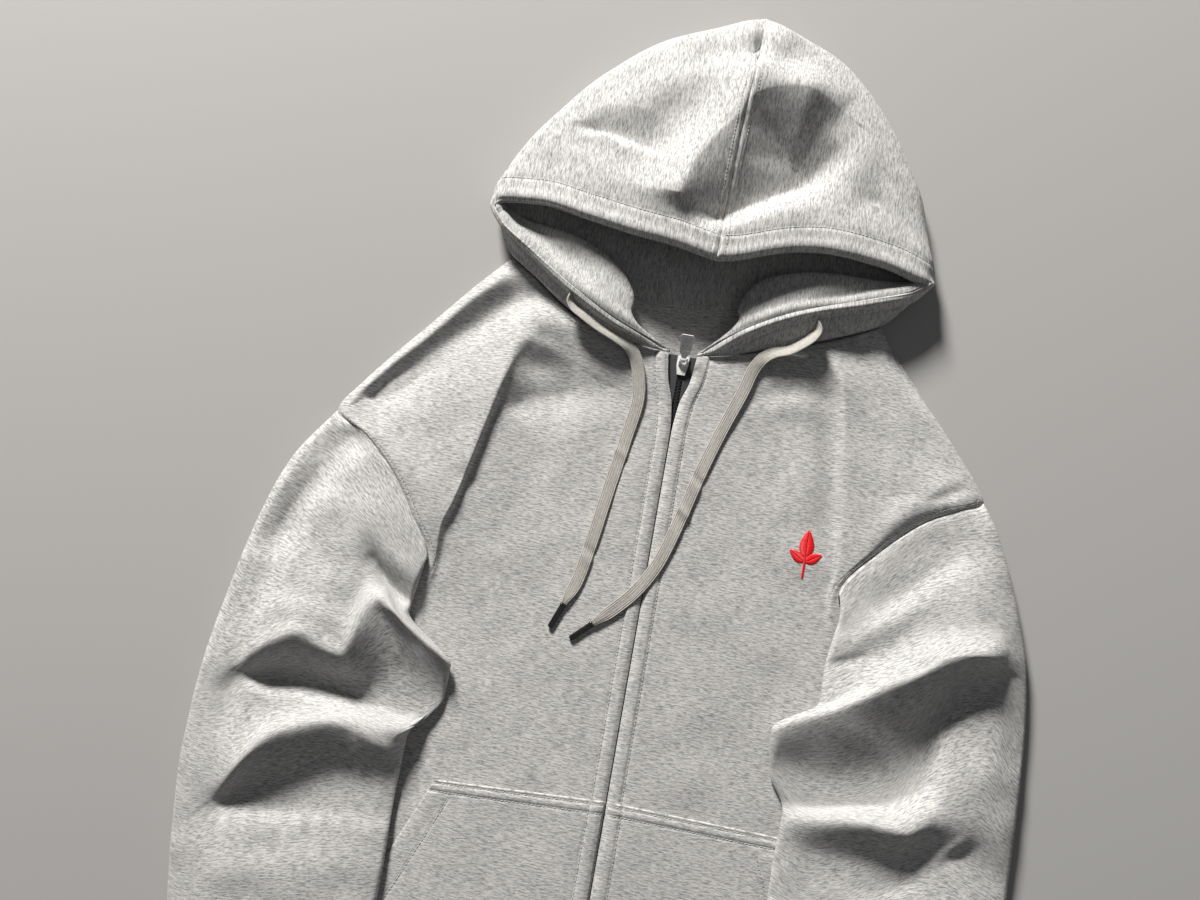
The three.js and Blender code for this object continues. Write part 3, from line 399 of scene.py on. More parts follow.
def capsules(name, segs, radius, material, squash=0.7, sides=6, body="garment", slot=None):
    """Many short threads in one mesh. segs is an array of (start, end, up)."""
    S = np.asarray(segs, float)
    if len(S) == 0:
        return None
    a, b, up = S[:, 0], S[:, 1], S[:, 2]
    t = b - a
    L = np.linalg.norm(t, axis=1, keepdims=True)
    t = t / (L + 1e-9)
    side = np.cross(t, up)
    side /= np.linalg.norm(side, axis=1, keepdims=True) + 1e-9
    u = np.cross(side, t)
    rad = radius if np.ndim(radius) else np.full(len(S), radius)
    rad = rad[:, None]
    rings = []
    places = [(a, 0.0, 0.3), (a, 0.8, 1.0), (b, -0.8, 1.0), (b, 0.0, 0.3)]
    for base, off, k in places:
        c = base + t * rad * off
        ring = [c + side * rad * k * np.cos(x) + u * rad * k * squash * np.sin(x) for x in np.linspace(0, 2 * np.pi, sides, endpoint=False)]
        rings.append(np.stack(ring, 1))
    P = np.stack(rings, 1)  # n, 4, sides, 3
    n = len(S)
    per = 4 * sides
    quads = []
    for r in range(3):
        for s in range(sides):
            quads.append([r * sides + s, r * sides + (s + 1) % sides, (r + 1) * sides + (s + 1) % sides, (r + 1) * sides + s])
    quads.append([sides - 1 - s for s in range(sides)])
    caps = [list(range(sides))[::-1], [3 * sides + s for s in range(sides)]]
    q = np.array(quads[:-1])
    F = (q[None] + (np.arange(n) * per)[:, None, None]).reshape(-1, 4)
    faces = [list(f) for f in F]
    for k in range(n):
        for cap in caps:
            faces.append([v + k * per for v in cap])
    o = mesh_from(name, P.reshape(-1, 3), faces, material)
    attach(o, body)
    return o


# ------------------------------------------------------------------ materials
def tree_of(name):
    m = bpy.data.materials.new(name)
    m.use_nodes = True
    nt = m.node_tree
    bsdf = nt.nodes["Principled BSDF"]
    return m, nt, bsdf


def node(nt, kind, **props):
    n = nt.nodes.new(kind)
    for k, v in props.items():
        setattr(n, k, v)
    return n


def noise(nt, vec, scale, detail, rough, stretch=(1, 1, 1), shift=(0, 0, 0)):
    mp = node(nt, "ShaderNodeMapping")
    mp.inputs["Scale"].default_value = stretch
    mp.inputs["Location"].default_value = shift
    nt.links.new(vec, mp.inputs["Vector"])
    nz = node(nt, "ShaderNodeTexNoise")
    nz.inputs["Scale"].default_value = scale
    nz.inputs["Detail"].default_value = detail
    nz.inputs["Roughness"].default_value = rough
    nt.links.new(mp.outputs[0], nz.inputs["Vector"])
    return nz.outputs["Fac"]


def math(nt, op, a, b=None, clamp=False):
    n = node(nt, "ShaderNodeMath", operation=op, use_clamp=clamp)
    for i, v in enumerate((a, b)):
        if v is None:
            continue
        if isinstance(v, (int, float)):
            n.inputs[i].default_value = v
        else:
            nt.links.new(v, n.inputs[i])
    return n.outputs[0]


def span(nt, v, a, b, lo=0.0, hi=1.0):
    n = node(nt, "ShaderNodeMapRange")
    nt.links.new(v, n.inputs["Value"])
    for k, x in (("From Min", a), ("From Max", b), ("To Min", lo), ("To Max", hi)):
        n.inputs[k].default_value = x
    return n.outputs["Result"]


def blend_colour(nt, fac, a, b):
    n = node(nt, "ShaderNodeMix", data_type="RGBA")
    nt.links.new(fac, n.inputs[0])
    for i, v in ((6, a), (7, b)):
        if isinstance(v, (tuple, list)):
            n.inputs[i].default_value = (*v, 1)
        else:
            nt.links.new(v, n.inputs[i])
    return n.outputs[2]


def heather(name, light=(0.60, 0.585, 0.565), dark=(0.235, 0.24, 0.24), amount=1.0, streak=(0.13, 0.95), rib=None):
    """Grey melange knit: short light and dark fibres along the courses, over a slow cloudiness. The cloth's own lengths are in its attribute, in mm."""
    m, nt, bsdf = tree_of(name)
    at = node(nt, "ShaderNodeAttribute", attribute_name="cloth")
    v = at.outputs["Vector"]
    su, sv = streak
    # the courses wander a little
    warp = noise(nt, v, 1.0, 1.0, 0.5, (0.035, 0.035, 1))
    sep = node(nt, "ShaderNodeSeparateXYZ")
    nt.links.new(v, sep.inputs[0])
    comb = node(nt, "ShaderNodeCombineXYZ")
    nt.links.new(sep.outputs[0], comb.inputs[0])
    nt.links.new(math(nt, "ADD", sep.outputs[1], math(nt, "MULTIPLY", warp, 2.2)), comb.inputs[1])
    nt.links.new(sep.outputs[2], comb.inputs[2])
    w = comb.outputs[0]
    s1 = noise(nt, w, 1.0, 2.5, 0.62, (su, sv, 1))
    s2 = noise(nt, w, 1.0, 2.0, 0.6, (su * 2.3, sv * 1.9, 1), (31, 17, 5))
    s3 = noise(nt, v, 1.0, 2.0, 0.6, (0.02, 0.045, 1), (3, 9, 2))
    s4 = noise(nt, v, 1.0, 1.0, 0.5, (1.4, 2.6, 1), (11, 7, 1))
    a = math(nt, "MULTIPLY", math(nt, "SUBTRACT", s1, 0.5), 3.0 * amount)
    b = math(nt, "MULTIPLY", math(nt, "SUBTRACT", s2, 0.5), 2.6 * amount)
    c = math(nt, "MULTIPLY", math(nt, "SUBTRACT", s3, 0.5), 0.5)
    d = math(nt, "MULTIPLY", math(nt, "SUBTRACT", s4, 0.5), 0.45 * amount)
    total = math(nt, "ADD", math(nt, "ADD", a, b), math(nt, "ADD", c, d))
    fac = math(nt, "ADD", total, 0.60, clamp=True)
    col = blend_colour(nt, fac, dark, light)
    nt.links.new(col, bsdf.inputs["Base Color"])
    bump = node(nt, "ShaderNodeBump")
    bump.inputs["Strength"].default_value = 0.35
    bump.inputs["Distance"].default_value = 0.00035
    knit = noise(nt, v, 1.0, 2.0, 0.6, (0.7, 1.5, 1), (5, 3, 8))
    nt.links.new(math(nt, "ADD", knit, math(nt, "MULTIPLY", s2, 0.6)), bump.inputs["Height"])
    nt.links.new(bump.outputs[0], bsdf.inputs["Normal"])
    nt.links.new(span(nt, s4, 0.3, 0.7, 0.86, 0.98), bsdf.inputs["Roughness"])
    bsdf.inputs["Specular IOR Level"].default_value = 0.15
    bsdf.inputs["Sheen Weight"].default_value = 0.12
    bsdf.inputs["Sheen Roughness"].default_value = 0.55
    return m


FLEECE = heather("heather_fleece")
JERSEY = heather("heather_jersey", light=(0.56, 0.55, 0.53), dark=(0.22, 0.225, 0.225), amount=0.9, streak=(0.16, 1.2))
RIBKNIT = heather("heather_rib", light=(0.58, 0.565, 0.545), dark=(0.23, 0.235, 0.235), amount=0.8, streak=(0.3, 0.9))


def plain(name, colour, rough, metallic=0.0, vary=0.08, size=900.0, bump=0.0, stretch=(1, 1, 1), coat=0.0):
    """A finish with fine unevenness, from the object's own coordinates."""
    m, nt, bsdf = tree_of(name)
    tc = node(nt, "ShaderNodeTexCoord")
    n1 = noise(nt, tc.outputs["Object"], size, 3.0, 0.6, stretch)
    lo = tuple(c * (1 - vary) for c in colour)
    hi = tuple(min(1.0, c * (1 + vary)) for c in colour)
    nt.links.new(blend_colour(nt, span(nt, n1, 0.35, 0.65), lo, hi), bsdf.inputs["Base Color"])
    nt.links.new(span(nt, n1, 0.3, 0.7, max(0.02, rough - 0.06), min(1, rough + 0.06)), bsdf.inputs["Roughness"])
    bsdf.inputs["Metallic"].default_value = metallic
    bsdf.inputs["Coat Weight"].default_value = coat
    if bump:
        b = node(nt, "ShaderNodeBump")
        b.inputs["Strength"].default_value = 0.5
        b.inputs["Distance"].default_value = bump
        nt.links.new(n1, b.inputs["Height"])
        nt.links.new(b.outputs[0], bsdf.inputs["Normal"])
    return m


NICKEL = plain("bright_nickel", (0.84, 0.835, 0.82), 0.28, 0.25, 0.05, 420.0, 0.00002)
TEETH = plain("dark_teeth", (0.10, 0.10, 0.105), 0.34, 0.85, 0.15, 700.0, 0.00002)
TAPE = plain("zip_tape", (0.035, 0.035, 0.037), 0.85, 0.0, 0.25, 1500.0, 0.0001, (1, 0.4, 1))
AGLET = plain("black_aglet", (0.018, 0.017, 0.017), 0.2, 0.3, 0.2, 300.0, 0.00001, coat=0.5)
THREAD = plain("sewing_thread", (0.40, 0.395, 0.385), 0.72, 0.0, 0.18, 2200.0)
THREAD_DARK = plain("thread_grey", (0.33, 0.33, 0.325), 0.75, 0.0, 0.2, 2200.0)
RED = plain("red_embroidery", (0.80, 0.012, 0.016), 0.45, 0.0, 0.16, 1800.0)


def cord_material():
    m, nt, bsdf = tree_of("flat_braid")
    at = node(nt, "ShaderNodeAttribute", attribute_name="cloth")
    v = at.outputs["Vector"]
    w1 = noise(nt, v, 1.0, 2.0, 0.6, (2.6, 0.30, 1))
    w2 = noise(nt, v, 1.0, 1.0, 0.5, (1.2, 1.6, 1), (3, 3, 3))
    f = math(nt, "ADD", math(nt, "MULTIPLY", w1, 0.7), math(nt, "MULTIPLY", w2, 0.3))
    col = blend_colour(nt, span(nt, f, 0.35, 0.62), (0.27, 0.258, 0.232), (0.46, 0.44, 0.40))
    nt.links.new(col, bsdf.inputs["Base Color"])
    b = node(nt, "ShaderNodeBump")
    b.inputs["Strength"].default_value = 0.4
    b.inputs["Distance"].default_value = 0.0002
    nt.links.new(f, b.inputs["Height"])
    nt.links.new(b.outputs[0], bsdf.inputs["Normal"])
    bsdf.inputs["Roughness"].default_value = 0.82
    bsdf.inputs["Sheen Weight"].default_value = 0.1
    return m


BRAID = cord_material()

# ------------------------------------------------------------------ tables, as in the solid model
FRONT_TOP = [[0, 10.3], [45, 10], [101, 9], [160, 7], [195, 5], [226, 4.6], [250, 4.5], [262, 4.4]]
SLEEVE_REST = [[60, 11], [100, 10.1], [135, 9.3], [160, 8.3], [195, 6.5], [226, 6.1], [268, 6], [296, 0]]
CUFF_REST = [[160, 10], [200, 8.3], [236, 7.6], [257, 7.4], [285, 0]]
POCKET_RISE = [[-360, 2.4], [-318, 0]]
BAND_RISE = [[-545, 2.4], [-520, 0]]
FRONT_RIGHT = [
  [[-146, 50, 4.6], [-133, 41, 9], [-120, 32.5, 11], [-103, 19, 13], [-85, 8, 14], [-60, 0, 13], [-35, -4, 12], [-12.5, -6, 10.8]],
  [[-172, 21, 4.4], [-163, 17, 9.5], [-146, 8, 10], [-121, -3, 16.5], [-104, -9, 15], [-72, -17, 13.5], [-38, -21, 12], [-9.5, -24, 11]],
  [[-200, -14, 4.4], [-191, -17, 9.5], [-170, -18, 8.5], [-131, -30, 17.5], [-120, -33, 12.5], [-80, -44, 10], [-40, -46, 10.4], [-3.4, -44, 10.5]],
  [[-240, -64, 4.4], [-231, -66, 10], [-205, -60, 9], [-138, -66, 18.5], [-130, -68, 10], [-85, -72, 9.3], [-40, -72, 10], [-0.9, -70, 10.3]],
  [[-257, -92, 4.6], [-246, -94, 10.5], [-222, -90, 9.5], [-144, -99, 18.5], [-137, -101, 9.5], [-90, -104, 9], [-42, -104, 10], [-0.8, -102, 10.3]],
  [[-231, -108, 13], [-222, -110, 14], [-203, -112, 14], [-149, -124, 18], [-142, -126, 9.4], [-92, -130, 9], [-43, -130, 10], [-0.8, -130, 10.3]],
  [[-205, -131, 14.5], [-198, -133, 15.5], [-186, -137, 16.5], [-154, -147, 17], [-147, -149, 9.3], [-94, -155, 9], [-43, -155, 10], [-0.8, -155, 10.3]],
  [[-182, -162, 14], [-178, -163.5, 14.5], [-172, -165.5, 15], [-160, -170, 15.5], [-152, -172, 9.3], [-95, -180, 9], [-44, -180, 10], [-0.8, -180, 10.3]],
  [[-164, -193, 12], [-162.6, -193.5, 12], [-161, -194, 12], [-159, -194.8, 11.8], [-154, -196.5, 9.3], [-96, -202, 9], [-44, -202, 10], [-0.8, -202, 10.3]],
  [[-184, -226, 6.5], [-180, -227, 6.6], [-174, -229, 6.8], [-166, -231, 7.2], [-156, -233, 7.6], [-98, -238, 9], [-45, -238, 10], [-0.8, -238, 10.3]],
  [[-212, -266, 4.7], [-205, -267, 4.9], [-194, -268, 5.2], [-180, -270, 5.8], [-160, -272, 7], [-100, -276, 9], [-45, -276, 10], [-0.8, -276, 10.3]],
]
FRONT_LEFT = [
  [[147, 45, 4.6], [136, 38, 9], [124, 32, 11], [108, 25, 14], [84, 16, 14], [60, 8, 13], [35, 0, 12], [10.5, -5, 10.8]],
  [[162, 20, 4.4], [153, 16, 9.5], [140, 12, 10.5], [119, 6, 16], [110, 3, 13], [75, -10, 12.5], [38, -19, 11.5], [8.5, -24, 11]],
  [[180, 0, 4.4], [170, -4, 10], [155, -9, 11], [126, -20, 17], [117, -22, 11], [80, -36, 10], [40, -43, 10.3], [2.8, -44, 10.5]],
  [[205, -26, 4.4], [195, -29, 10], [176, -34, 11], [130, -48, 17], [121.5, -50, 9.6], [84, -62, 9.2], [42, -66, 10], [0.9, -68, 10.3]],
  [[243.5, -76, 4.6], [232, -75, 11], [212, -76, 14], [134, -84, 16.5], [126, -86, 9.3], [88, -92, 9], [43, -96, 10], [0.8, -98, 10.3]],
  [[223, -87, 12.5], [215, -86, 14.5], [196, -88, 16], [136, -100, 16], [128, -102, 9.3], [90, -108, 9], [43, -112, 10], [0.8, -114, 10.3]],
  [[201, -99, 12.5], [194, -99, 14.5], [178, -103, 16.5], [139, -118, 15.5], [130.5, -120, 9.3], [91, -126, 9], [43, -129, 10], [0.8, -130, 10.3]],
  [[172, -125, 13], [167, -126, 14.5], [160, -130, 15.5], [142, -139, 15], [134, -141, 9.3], [93, -146, 9], [44, -149, 10], [0.8, -150, 10.3]],
  [[144, -164.5, 12], [142.6, -165, 12], [141, -165.5, 12], [139, -166.2, 11.8], [134, -167.5, 9.3], [94, -172, 9], [44, -175, 10], [0.8, -177, 10.3]],
  [[166, -205, 6.8], [162, -206, 7], [156, -207, 7.2], [148, -208, 7.6], [137, -209, 8], [96, -212, 9], [44, -214, 10], [0.8, -216, 10.3]],
  [[196, -254, 4.9], [190, -255, 5.2], [180, -256, 5.7], [168, -258, 6.4], [142, -260, 7.6], [98, -262, 9], [44, -264, 10], [0.8, -266, 10.3]],
]
SLEEVE_RIGHT = [
  [[-257.5, -92.6, 7.5], [-244.5, -100.6, 12.5], [-231.5, -108.6, 15], [-218.5, -120, 16], [-205.5, -131.6, 16.5], [-194, -147.2, 17], [-182.6, -162.7, 17.5], [-173.6, -178.2, 18], [-164.6, -193.8, 18]],
  [[-285, -138, 10], [-272, -141, 15], [-254, -149, 20], [-238, -158, 22], [-222, -168, 22.5], [-208, -178, 23], [-194, -189, 23], [-180, -200, 21.5], [-167, -212, 18]],
  [[-301, -190, 10], [-287, -194, 16], [-263, -199, 23], [-240, -202, 25.5], [-218, -202, 25], [-203, -207, 18.5], [-192, -215, 14], [-181, -224, 13], [-169.5, -234, 13]],
  [[-317, -290, 10], [-302, -293, 15], [-276, -283, 26], [-242, -264, 33], [-212, -266, 31], [-197, -240, 29], [-187, -228, 26], [-164, -247, 25], [-131, -268, 19]],
  [[-319, -325, 10], [-303, -322, 13], [-269, -302, 18], [-237, -298, 17.5], [-208, -299, 17], [-181, -302, 16.5], [-158, -305, 16], [-143, -303, 15.5], [-132, -293, 15]],
  [[-319, -360, 10], [-303, -362, 14.5], [-277, -362, 22], [-254, -342, 29], [-231, -330, 30], [-203, -322, 30], [-180, -325, 28], [-164, -329, 24], [-153, -325, 17]],
  [[-315, -405, 10], [-303, -406, 13], [-285, -399, 15], [-265, -387, 14.8], [-238, -384, 14.8], [-210, -378, 14.8], [-190, -373, 15], [-170, -371, 15.6], [-153.5, -368, 15.4]],
  [[-309, -448, 10], [-296, -450, 14], [-276, -446, 19], [-256, -441, 21], [-234, -437, 21], [-212, -433, 20.5], [-190, -429, 20], [-170, -425, 18.5], [-151.5, -422, 16]],
  [[-300, -495, 10], [-288, -498, 14.5], [-270, -497, 18], [-250, -495, 18.5], [-230, -493, 19], [-210, -491, 19], [-190, -489, 18.5], [-170, -486, 17.5], [-153, -482, 15.6]],
  [[-292, -535, 10], [-281, -537, 13.5], [-264, -536, 15.5], [-245, -534, 16], [-226, -532, 16.5], [-207, -531, 16.5], [-189, -529, 16.5], [-172, -527, 16.4], [-158, -524, 15.6]],
  [[-287, -565, 10], [-276, -567, 15], [-260, -567, 20], [-243, -566, 22], [-226, -565, 22.5], [-209, -564, 22], [-193, -563, 21], [-178, -562, 19], [-165, -560, 16.5]],
  [[-278, -592, 9.5], [-268, -592, 14], [-256, -592, 17], [-243, -592, 18.5], [-230, -592, 19], [-217, -592, 19], [-204, -592, 18.5], [-192, -592, 17.5], [-181, -592, 15.5]],
]
UNDER_RIGHT = [[-257.5, -92.6, 0.3], [-248.8, -165, 0.3], [-250.4, -245, 1.5], [-263.4, -323.4, 6.4], [-237.4, -294.6, 6.9], [-212.4, -266.5, 7], [-198.5, -246.5, 7.6], [-184.4, -226.8, 8.8], [-164.6, -193.8, 12.9]]
SLEEVE_LEFT = [
  [[244, -76.6, 7.5], [233.5, -82, 12], [223.3, -87.6, 14.5], [212.2, -93.6, 15], [201.3, -99.6, 15.3], [186.8, -112.5, 15.8], [172.5, -125.6, 16.3], [158.5, -145.2, 17.3], [144.6, -165.3, 17.8]],
  [[256, -99, 10], [246, -101, 12], [235, -104, 13], [222, -108, 13], [209, -113, 13], [194, -126, 13.5], [180, -139, 14.5], [165, -158, 16], [146.5, -180, 16.5]],
  [[276, -146, 10], [266, -147, 17], [252, -148, 22], [237, -152, 24], [222, -157, 24], [207, -163, 23.5], [190, -173, 23], [170, -185, 21.5], [144, -199, 17]],
  [[283, -168, 10], [274, -167, 17], [259, -166, 23], [242, -170, 26], [225, -177, 26], [203, -191, 24], [180, -204, 19.5], [159, -211, 17.5], [141.5, -222, 15]],
  [[287, -180, 10], [277, -178, 17], [260, -176, 25], [243, -181, 28], [226, -189, 29], [203, -206, 27.5], [180, -218, 24.5], [160, -231, 15.5], [141.5, -244, 14]],
  [[290, -193, 10], [279, -189, 17.5], [261, -187, 27], [243, -190, 31], [226, -200, 32], [204, -213, 32], [181, -228, 30], [150, -248, 26], [109.5, -270, 19]],
  [[296, -252, 10], [286, -245, 13], [268, -226, 15.5], [240, -236, 15.5], [222, -262, 16], [205, -294, 16], [172, -311, 16], [140, -315, 16], [114, -302, 15.5]],
  [[297, -318, 10], [285, -312, 16], [262, -300, 22], [240, -305, 25], [224, -310, 26.5], [200, -322, 26], [172, -321, 26], [147, -328, 23], [127, -327, 16.5]],
  [[297, -352, 10], [287, -349, 13], [268, -343, 14.8], [248, -340, 14.8], [230, -342, 14.8], [205, -356, 15], [178, -369, 15], [150, -376, 16], [125.5, -366, 16]],
  [[295, -405, 10], [284, -407, 15], [266, -408, 20], [246, -409, 21.5], [226, -410, 21], [204, -411, 20.5], [180, -411, 20], [152, -412, 18.5], [126, -412, 16.5]],
  [[291, -462, 10], [281, -463, 14.5], [264, -465, 17.5], [245, -467, 18], [226, -468, 18.5], [204, -469, 18.5], [180, -470, 18.5], [153, -471, 17.5], [128, -472, 16.5]],
  [[285, -520, 10], [275, -521, 13.5], [259, -522, 15.5], [241, -523, 16], [222, -524, 16.5], [202, -525, 16.5], [180, -526, 17], [156, -527, 17], [134, -528, 16.5]],
  [[280, -558, 10], [270, -559, 15], [254, -560, 20], [237, -561, 22], [219, -562, 22.5], [201, -563, 22], [182, -564, 21], [161, -565, 19.5], [142, -566, 17.5]],
  [[270, -588, 9.5], [260, -589, 14], [247, -590, 17], [234, -590.5, 18.5], [221, -591, 19], [208, -591.5, 19], [195, -592, 18.5], [183, -592, 17.5], [172, -592, 15.5]],
]
UNDER_LEFT = [[244, -76.6, 0.3], [241.8, -155, 0.3], [243.4, -240, 1.5], [263.4, -323.4, 6.4], [229.5, -288.6, 7], [196.4, -254.6, 7.4], [181.4, -230.2, 7.8], [166.4, -205.6, 9], [144.6, -165.3, 12.9]]
HOOD_AT = [0, 2, 4, 7, 8, 9, 10, 11, 12, 13]
HOOD_RIGHT = [
  [[-13.2, -5.6, 13], [-53, 8, 26], [-92, 27, 31], [-130, 51, 29], [-157, 70, 26], [-166, 83, 24], [-160, 88, 26], [-130, 89, 32], [-88, 81, 38], [-41, 73, 42], [10, 71, 43]],
  [[-60, 0.6, 13], [-80, 12, 21], [-105, 31, 24], [-136, 55, 22], [-160, 74, 18], [-169, 89, 15], [-163, 95, 24], [-131, 101, 31], [-88, 95, 38], [-41, 88, 43], [10.5, 86, 44.5]],
  [[-103, 19.6, 13], [-116, 31, 17], [-131, 45, 17], [-147, 60, 15], [-162, 78, 11.5], [-170, 95, 10], [-165, 104, 23], [-131, 114, 30], [-88, 111, 37], [-40, 104, 43], [11, 102, 45]],
  [[-147, 50.6, 5], [-152, 59, 5], [-157, 68, 4.5], [-161, 77, 4], [-165, 88, 3], [-167, 103, 9], [-161, 116, 20], [-129, 131, 29], [-87, 129, 35], [-39, 124, 38], [11.5, 122, 41]],
  [[-118, 53.5, 0], [-130, 70, 0], [-140, 85, 0], [-149, 100, 0], [-156, 112, 1.2], [-161, 122, 9], [-154, 131, 19.5], [-123, 145, 28], [-84, 145, 32], [-37, 141, 33], [12, 140, 37]],
  [[-90, 49.5, 0], [-103, 73, 0], [-117, 98, 0], [-131, 122, 0], [-144, 141, 1.2], [-149, 146, 9], [-142, 152, 19.5], [-114, 160, 27], [-78, 161, 30], [-35, 159, 28], [12.5, 158, 32]],
  [[-66, 43.5, 0], [-79, 76, 0], [-95, 110, 0], [-112, 144, 0], [-126, 168, 1.2], [-132, 171, 9], [-125, 175, 19.5], [-101, 178, 26], [-70, 178, 30], [-32, 177, 26], [13, 177, 28]],
  [[-45, 37.5, 0], [-54, 80, 0], [-66, 125, 0], [-80, 168, 0], [-96, 206, 1.2], [-102, 209, 9], [-96, 210, 18.5], [-80, 204, 26], [-55, 200, 30], [-24, 198, 28], [14, 197, 29]],
  [[-34, 34.5, 0], [-40, 85, 0], [-47, 135, 0], [-52, 185, 0], [-58, 237, 1.2], [-61, 245, 9], [-56, 240, 17.5], [-45, 230, 24], [-28, 223, 28], [-8, 219, 29.5], [15, 217, 30]],
  [[-25, 33.5, 0], [-26, 90, 0], [-14, 145, 0], [-1, 200, 0], [14, 270, 1.2], [18, 279, 9], [18, 273, 17], [18, 267, 21], [17.5, 260, 25], [17, 250, 27.5], [16, 238, 29.5]],
]
HOOD_LEFT = [
  [[11.2, -4.4, 13], [44, 21, 25], [84, 41, 30], [130, 57, 29], [162, 69, 26], [175, 79, 24], [165, 79, 27], [137, 84, 33], [98, 86, 38], [52, 80, 42], [10.6, 71, 43]],
  [[60, 8.6, 13], [85, 24, 20], [112, 39, 23], [143, 54, 21], [168, 69, 17], [180, 84, 14], [171, 88, 24], [140, 96, 32], [99, 99, 38], [53, 94, 43], [11.1, 86, 44.5]],
  [[108, 25.6, 13], [124, 36, 17], [140, 46, 17], [156, 57, 15], [171, 72, 11], [181, 90, 10], [173, 98, 23], [141, 110, 31], [100, 114, 36], [54, 110, 42], [11.6, 102, 45]],
  [[148, 45.6, 5], [154, 53, 5], [160, 61, 4.5], [166, 70, 4], [172, 83, 3], [177, 100, 9], [170, 112, 20], [139, 127, 28], [99, 131, 31], [54, 129, 36], [12.1, 122, 41]],
  [[118, 50.5, 0], [133, 66, 0], [145, 80, 0], [156, 94, 0], [166, 110, 1.2], [171, 121, 9], [163, 130, 19.5], [134, 143, 27], [96, 147, 29], [52, 146, 32], [12.6, 140, 37]],
  [[86, 47.5, 0], [105, 72, 0], [122, 95, 0], [140, 118, 0], [157, 141, 1.2], [164, 146, 9], [156, 152, 19.5], [126, 160, 26], [90, 163, 29], [49, 162, 28], [13.1, 158, 32]],
  [[52, 42.5, 0], [76, 77, 0], [99, 110, 0], [122, 142, 0], [143, 171, 1.2], [150, 174, 9], [142, 178, 18.5], [114, 181, 26], [82, 181, 30], [46, 179, 27], [13.6, 177, 28]],
  [[17, 37.5, 0], [42, 82, 0], [67, 125, 0], [92, 165, 0], [117, 206, 1.2], [125, 213, 9], [117, 212, 18.5], [95, 206, 26], [70, 202, 30], [42, 199, 28], [14.6, 197, 29]],
  [[-5, 34.5, 0], [16, 86, 0], [36, 137, 0], [55, 187, 0], [74, 245, 1.2], [84, 253, 9], [78, 248, 17.5], [66, 236, 24], [51, 227, 28], [33, 221, 29.5], [15.6, 217, 30]],
  [[-24.4, 33.5, 0], [-25.4, 90, 0], [-13.4, 145, 0], [-0.4, 200, 0], [14.6, 270, 1.2], [18.6, 279, 9], [18.6, 273, 17], [18.6, 267, 21], [18.1, 260, 25], [17.6, 250, 27.5], [16.6, 238, 29.5]],
]
CHEEK_RIGHT = {
  2: [[-58, 5, 10.6], [-46, 27, 17], [-60, 51, 17.5], [-96, 70, 20], [-146, 82, 17], [-162, 90, 15]],
  4: [[-101, 23, 9.6], [-97, 36, 9.2], [-108, 52, 9], [-126, 68, 9], [-150, 83, 8.6], [-164, 96, 10.5]],
  7: [[-134, 58, 9.4], [-139, 66.5, 9], [-145.5, 74, 8.2], [-151.5, 82, 7.4], [-159.5, 92, 6.8], [-163, 103, 9.8]],
  8: [[-112, 58, 6.6], [-124, 74, 5.6], [-136, 88, 4.2], [-146.5, 101.5, 3]],
}
CHEEK_LEFT = {
  2: [[58, 12.5, 10.6], [36, 36, 15.5], [48, 60, 17], [92, 74, 20], [152, 78, 16.5], [173, 85, 14.5]],
  4: [[106, 29, 9.6], [100, 43, 9.2], [112, 56, 9], [134, 66, 9], [158, 77, 8.6], [174, 91, 10.5]],
  7: [[135, 55, 9.4], [142, 61.5, 9], [149.5, 68.5, 8.2], [156.5, 76, 7.4], [165.5, 87, 6.8], [173, 100, 9.8]],
  8: [[112, 55.5, 6.6], [127, 69.5, 5.6], [140.5, 83.5, 4.2], [153, 96, 3]],
}
CORD_RIGHT = [[-89, 14, 25.5, 42], [-82, 9.5, 26, 42], [-68, 2.5, 24, 40], [-53, -3, 21, 30], [-42, -8, 17.6, 12], [-34.5, -19, 14.6, 0], [-29, -46, 12.6, 0], [-33, -78, 11.7, 0], [-39, -118, 11.5, 0], [-45, -161, 11.4, 0], [-50, -189, 11.3, 0], [-57, -208, 11.5, 0]]
CORD_LEFT = [[93, 23, 24.5, -40], [86, 16, 24, -40], [77, 10, 21.5, -34], [67, 7, 19.5, -24], [59, 1, 17.2, -10], [54, -8, 14.8, 0], [49, -26, 13, 0], [38, -58, 11.9, 0], [27, -95, 11.7, 0], [18, -131, 11.8, 0], [7, -167, 12, 0], [-6, -190, 12, 0], [-21, -207, 11.8, 0], [-33, -218.5, 11.7, 0]]
POCKET_ROWS = [[-344, 127, 2], [-360, 130.5, 2], [-416, 154, 2], [-470, 178, 2], [-505, 194, 2], [-547, 198, 2]]
BAND_COLUMNS = [[1, 12.6], [45, 12.4], [101, 11.4], [160, 9.4], [200, 7.6], [236, 6.8], [247, 6]]
BACK_RIGHT = [[-146.5, 49.5], [-172, 21], [-200, -14], [-240, -64], [-256.4, -91.5], [-248, -150], [-246, -220], [-252.6, -280], [-261, -322], [-264, -400], [-264, -480], [-255, -549]]
BACK_LEFT = [[147.5, 44.5], [162, 20], [180, 0], [205, -26], [243, -75.6], [240.4, -140], [238.4, -205], [244.4, -265], [261, -317], [264, -400], [264, -480], [255, -549]]


# ------------------------------------------------------------------ shared heights
def rest_height(x, y, corner):
    a = np.abs(x)
    low = ramp(SLEEVE_REST, a)
    pocket = ramp(POCKET_RISE, y) * ramp([[205, 1], [235, 0]], a)
    band = ramp(BAND_RISE, y) * ramp([[262, 1], [288, 0]], a)
    d = np.hypot(x - corner[0], y - corner[1])
    return low + np.maximum(pocket, band) + 6 * np.maximum(0, 1 - d / 42)


def lerp(a, b, t):
    return a + (b - a) * t


